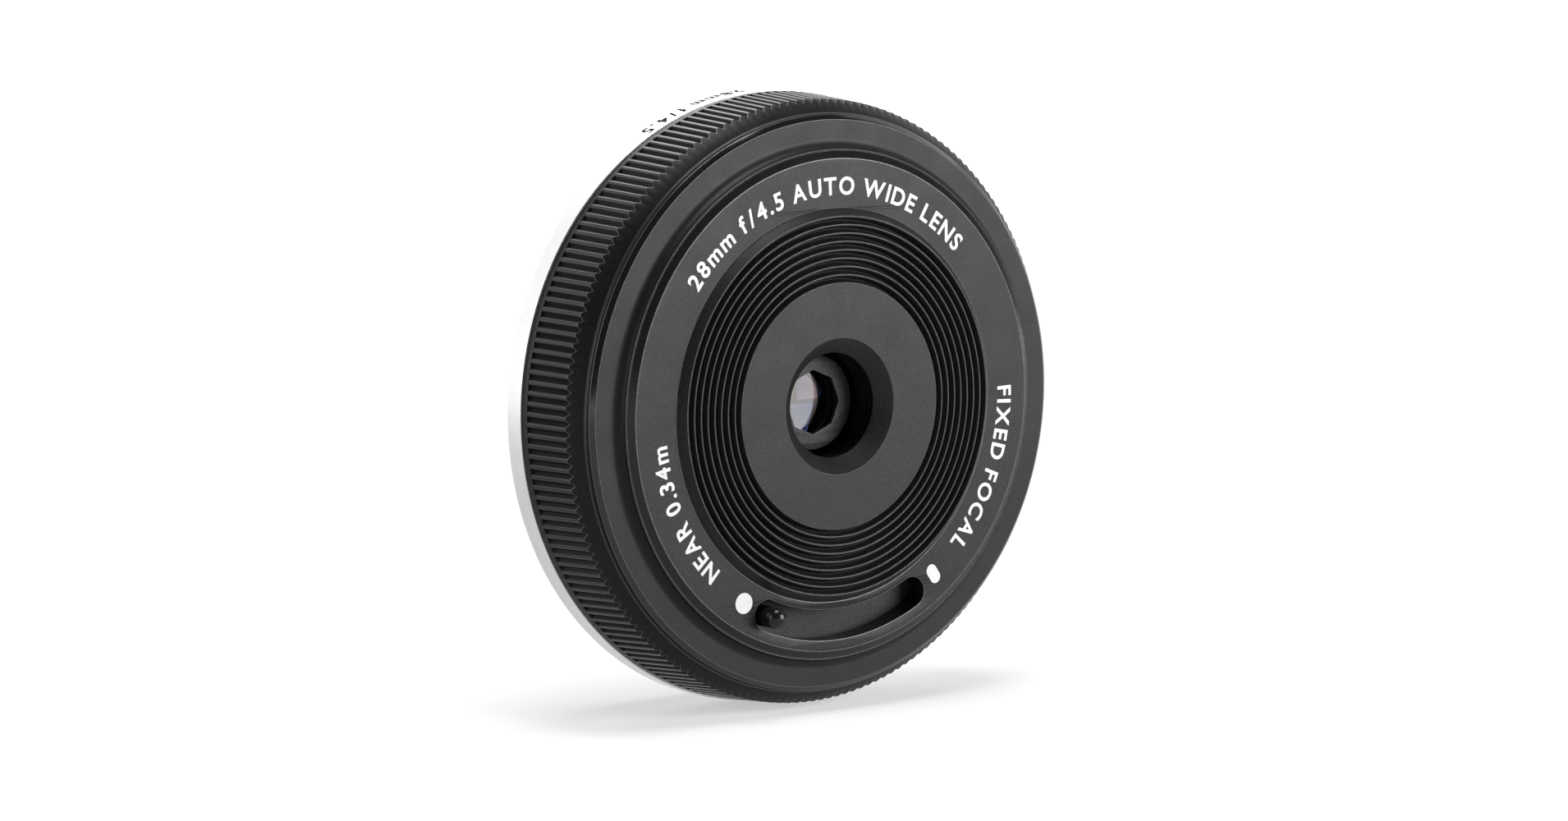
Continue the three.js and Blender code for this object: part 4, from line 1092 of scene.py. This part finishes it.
# each element's radius, then vertex depth and curve radius of its front and of its rear; a positive
# curve has its centre behind
ELEMENTS = [
    (3.68, 4.7, 9, 5.85, 16), (3.68, 7.2, -14, 7.6, 18), (3.68, 8.25, 40, 9.35, -12),
    (5.2, 10.15, -22, 11.3, -13), (6.95, 11.7, -30, 12.95, -18), (8.22, 14.85, -16, 15.35, -60),
]


def surface_depth(vertex, curve, height):
    return vertex + math.copysign(abs(curve) - math.sqrt(curve * curve - height * height), curve)


def lens_elements():
    steps = 14
    for i, (radius, near, near_curve, far, far_curve) in enumerate(ELEMENTS):
        heights = [radius * k / steps for k in range(steps + 1)]
        profile = [(h, surface_depth(near, near_curve, h)) for h in heights]
        profile += [(h, surface_depth(far, far_curve, h)) for h in reversed(heights)]
        corners, faces = turned(profile, SMALL_SEGMENTS, radius=0.05)
        polished = (corners, [(face, PLAIN) for face, _ in faces])
        painted = refinish(polished, BROKEN, lambda r, d: r > radius - PICK)
        glass = GLASS_FRONT if i == 0 else GLASS_INNER
        node = f"lens_element_{i + 1}"
        piece(node, "polished", [painted], (glass, PAINTED_RIM), sharp=40)


def retaining_ring():
    near, far = depths("cell_retaining_ring")
    outer, inner, slot_half_angle, slot_deep = 8.3, 7.4, 3.5, 0.28
    slots = []
    for angle in (20, 200):
        ends = (angle - slot_half_angle, angle + slot_half_angle)
        loop = sector_loop(inner + 0.25, outer - 0.2, *ends, 4)
        slots.append((loop, [(0, far - slot_deep), (0, far)]))
    edges = broken_edges(near, far)
    ring = plate(circle(outer, SMALL_SEGMENTS), edges, [(circle(inner, SMALL_SEGMENTS), edges)], slots)
    piece("cell_retaining_ring", "turned", [ring], (DARK_ANODISE_AND_SHADE, EDGE_WEAR_AND_HIGHLIGHT))


stop_plate()
focus_cell()
lens_elements()
retaining_ring()

# ---------- bayonet mount, contacts, socket and rear baffle ----------

BORE_R = 19.6
SPIGOT_R = 20.7
SPIGOT_REAR = 19.5
SPIGOT_IN_FLANGE = 0.4  # overlaps, so that joined parts have no gap
CLAW_IN_SPIGOT = 0.3
CLAW_R = 22.0
CLAW_DEPTHS = (17.5, 19.0)
CLAW_ANGLES = (30, 150, 270)
CLAW_SPAN = 46
SCREW_RECESS_R = 1.65
SCREW_RECESS_FLOOR = 14.3
NOTCH_R = 1.1
NOTCH_AT = polar(25.2, 348)
NOTCH_FLOOR = FLANGE - 1.2
LEAD_IN = 0.12  # the chamfer at the mouth of a sunk hole
SOCKET_X = centre("usb_socket")[0]
SOCKET_HALF_RUN = 2.9
SOCKET_HALF_WIDTH = 1.6
SOCKET_GAP = 0.12
BLOCK_RADII, BLOCK_ANGLES = (16.7, 19.3), (243, 297)
PAD_RADII, PAD_HALF_WIDTH, PAD_COUNT = (17.65, 18.35), 0.46, 10
PAD_START, PAD_PITCH = 247.5, 5  # degrees


def socket_loop(half_width):
    return slot_loop([(SOCKET_X, -SOCKET_HALF_RUN), (SOCKET_X, SOCKET_HALF_RUN)], half_width)


def mount():
    near = SILVER_REAR + SEAT_GAP
    edges = broken_edges(near, FLANGE)
    rim = [(0.05, near), (0, near + 0.05), (0, FLANGE - 0.25), (0.06, FLANGE - 0.1), (0.25, FLANGE)]
    holes = [(circle(SPIGOT_R - SPIGOT_IN_FLANGE, SEGMENTS), [(0, near), (0, FLANGE)]),
             (socket_loop(SOCKET_HALF_WIDTH + SOCKET_GAP), edges)]
    mouth = [(0, FLANGE - LEAD_IN), (LEAD_IN, FLANGE)]
    pits = []
    for i in (1, 2, 3, 4):
        recess = circle(SCREW_RECESS_R, PIN_SEGMENTS, centre(f"mount_screw_{i}"))
        pits.append((recess, [(0, SCREW_RECESS_FLOOR), *mouth]))
    pits.append((circle(NOTCH_R, PIN_SEGMENTS, NOTCH_AT), [(0, NOTCH_FLOOR), *mouth]))
    flange = plate(circle(FLANGE_R, SEGMENTS), rim, holes, pits)
    spigot = turned([(BORE_R, near), (SPIGOT_R, near + 0.1), (SPIGOT_R, SPIGOT_REAR),
                     (BORE_R, SPIGOT_REAR)], SEGMENTS, radius=0.12)
    shapes = [flange, spigot]
    for angle in CLAW_ANGLES:
        half = CLAW_SPAN / 2
        claw = sector_loop(SPIGOT_R - CLAW_IN_SPIGOT, CLAW_R, angle - half, angle + half, 40)
        shapes.append(plate(claw, broken_edges(*CLAW_DEPTHS, 0.1)))
    piece("mount_plate", "turned", shapes, (MOUNT_METAL,))


def contacts():
    body = plate(sector_loop(*BLOCK_RADII, *BLOCK_ANGLES, 60), broken_edges(*depths("contact_block"), 0.1))
    piece("contact_block", "moulded", [body], (PLASTIC,))
    near, far = depths("contact_strip")
    walls = [(0, near), (0, far - 0.08), (0.04, far - 0.03), (0.12, far)]
    pads = []
    for k in range(PAD_COUNT):
        ends = [polar(radius, PAD_START + PAD_PITCH * k) for radius in PAD_RADII]
        pads.append(plate(slot_loop(ends, PAD_HALF_WIDTH), walls))
    piece("contact_strip", "pads", pads, (GOLD,))


def charging_socket():
    near, far = depths("usb_socket")
    wall, floor = 0.3, 0.8
    edges = [(0.08, near), (0, near + 0.08), (0, far - 0.06), (0.02, far - 0.02), (0.08, far)]
    pit = (socket_loop(SOCKET_HALF_WIDTH - wall), [(0, near + floor), (0, far - 0.04), (0.04, far)])
    piece("usb_socket", "shell", [plate(socket_loop(SOCKET_HALF_WIDTH), edges, pits=[pit])],
          (STEEL,))
    half_thick, half_width, tongue_end = 0.35, 3.3, far - 0.6
    tongue = block(SOCKET_X - half_thick, SOCKET_X + half_thick, near + floor - 0.05, tongue_end,
                   -half_width, half_width, 0.06)
    piece("usb_socket", "tongue", [tongue], (PLASTIC,), extra_slot="black_plastic")
    pin_count, pitch, pin_half_thick, pin_half_width, pin_front = 12, 0.5, 0.03, 0.13, far - 3.6
    pins = []
    for k in range(pin_count):
        z = pitch * (k - (pin_count - 1) / 2)
        for side in (-1, 1):
            x = SOCKET_X + side * (half_thick + 0.01)
            pins.append(block(x - pin_half_thick, x + pin_half_thick, pin_front, tongue_end - 0.35,
                              z - pin_half_width, z + pin_half_width, 0.015))
    piece("usb_socket", "pins", pins, (GOLD,), extra_slot="gold")


def rear_baffle():
    near, far = depths("rear_baffle")
    edges = broken_edges(near, far, 0.06)
    sloped = [(0, near), (0.05, near + 0.1), (0.6, far)]
    window = rectangle_loop(9.0, 6.5, 1.2, (0, 0), 8)
    flex, flex_gap, slot_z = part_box("flex_cable"), 0.3, -17.5
    left, right = flex[0].x / MM - flex_gap, flex[1].x / MM + flex_gap
    slot = rectangle_loop((right - left) / 2, 0.4, 0.1, ((left + right) / 2, slot_z), 3)
    baffle = plate(circle(bottom_radius("rear_baffle"), SEGMENTS), edges,
                   [(window, sloped), (slot, [(0, near), (0, far)])])
    piece("rear_baffle", "moulded", [baffle], (FLOCK,))


def wrapped(shape, angle, depth):
    """A flat shape laid on the silver barrel; its front face is the outer one."""
    corners, faces = shape
    out = []
    for u, v, d in corners:
        x, z = polar(SILVER_R - d, angle + math.degrees(u / SILVER_R))
        out.append((x, z, depth + v))
    return out, faces


def index_dot():
    x, z = centre("index_dot")
    angle = math.degrees(math.atan2(z, x))
    dot_r, top = 0.8, -0.1
    walls = [(0.12, top), (0.04, top + 0.02), (0, top + 0.07), (0, 0.02)]
    dot = wrapped(plate(circle(dot_r, PIN_SEGMENTS), walls), angle, sum(depths("index_dot")) / 2)
    piece("index_dot", "enamel", [dot], (RED,))


mount()
contacts()
charging_socket()
rear_baffle()
index_dot()

# ---------- floor, light and camera ----------


def floor_plane(name, near_glow, far_glow):
    """A white floor that also glows, from near_glow by the lens to far_glow well away from it."""
    mesh = bpy.data.meshes.new(name)
    reach, low, glow_start, glow_end = 4.0, CAD_BOUNDS[0].z, 0.08, 1.2
    corners = [(-reach, -reach, low), (reach, -reach, low), (reach, reach, low), (-reach, reach, low)]
    mesh.from_pydata(corners, [], [(0, 1, 2, 3)])
    m = Nodes(name)
    away = m.add("ShaderNodeVectorMath", {0: m.place}, operation="LENGTH").outputs["Value"]
    m.set(Specular_IOR_Level=0.2, Emission_Color=(1, 1, 1, 1),
          Base_Color=m.ramp(m.noise(3.0, 2.0), [(0.3, grey(0.90)), (0.7, grey(0.92))]),
          Roughness=m.span(m.noise(20.0), 0.5, 0.6),
          Emission_Strength=map_range(m.tree, away, glow_start, glow_end, near_glow, far_glow, "SMOOTHSTEP"))
    mesh.materials.append(m.material)
    floor = new_object(name, mesh)
    return floor


def plain_floor():
    """One floor in two sheets: what the camera sees, and a brighter one that lights the lens."""
    seen = floor_plane("floor", 0.08, 0.95)
    seen.visible_glossy = seen.visible_diffuse = False
    lighting = floor_plane("floor_bounce", 0.45, 1.6)
    lighting.visible_camera = lighting.visible_shadow = lighting.visible_transmission = False


def aimed(name, data, target, azimuth, elevation, distance):
    """A lamp or camera that faces a target. Azimuth turns from the front towards +X."""
    a, e = math.radians(azimuth), math.radians(elevation)
    away = Vector((math.sin(a) * math.cos(e), -math.cos(a) * math.cos(e), math.sin(e)))
    made = new_object(name, data)
    made.location = target + away * distance
    made.rotation_euler = (-away).to_track_quat("-Z", "Y").to_euler()
    return made


def softbox(name, azimuth, elevation, distance, size, power):
    """A square softbox aimed at the middle of the mount flange."""
    data = bpy.data.lights.new(name, "AREA")
    data.shape = "SQUARE"
    data.size, data.energy = size, power
    aimed(name, data, Vector((0, 0, 0)), azimuth, elevation, distance)


SOFTBOXES = {  # azimuth, elevation, distance, size, watts
    "key_softbox": (34, 12, 0.5, 0.3, 2.2),
    "left_softbox": (-105, 12, 0.5, 0.26, 0.75),
    "top_softbox": (0, 86, 0.5, 0.26, 1.45),
    "back_softbox": (160, 45, 0.5, 0.26, 0.6),
    "right_softbox": (100, 35, 0.5, 0.26, 0.15),
}


def studio():
    """White surroundings behind the lens, dark ones on the camera's side, and the softboxes."""
    world = bpy.data.worlds.new("studio")
    bpy.context.scene.world = world
    world.use_nodes = True
    tree = world.node_tree
    direction = tree.nodes.new("ShaderNodeTexCoord").outputs["Generated"]
    parts = tree.nodes.new("ShaderNodeSeparateXYZ")
    feed(tree, parts, {"Vector": direction})
    fade_start, fade_end, dark, bright = -0.1, 0.5, 0.03, 1.0
    fade = map_range(tree, parts.outputs["Y"], fade_start, fade_end, dark, bright, "SMOOTHSTEP")
    feed(tree, tree.nodes["Background"], {"Strength": fade, "Color": (1, 1, 1, 1)})
    world.cycles_visibility.diffuse = False
    for name, settings in SOFTBOXES.items():
        softbox(name, *settings)
    bpy.context.scene.view_settings.view_transform = "Standard"


def camera():
    """The camera at the photograph's viewing angle, aimed at a point of the front face's plane."""
    azimuth, elevation, distance = -37.828, 6.858, 562.9 * MM
    target = Vector((-6.868 * MM, FRONT_Y, 0.105 * MM))
    data = bpy.data.cameras.new("camera")
    data.lens, data.sensor_width = 134.75, 36.0
    data.clip_start, data.clip_end = 0.02, 50
    bpy.context.scene.camera = aimed("camera", data, target, azimuth, elevation, distance)


plain_floor()
studio()
camera()
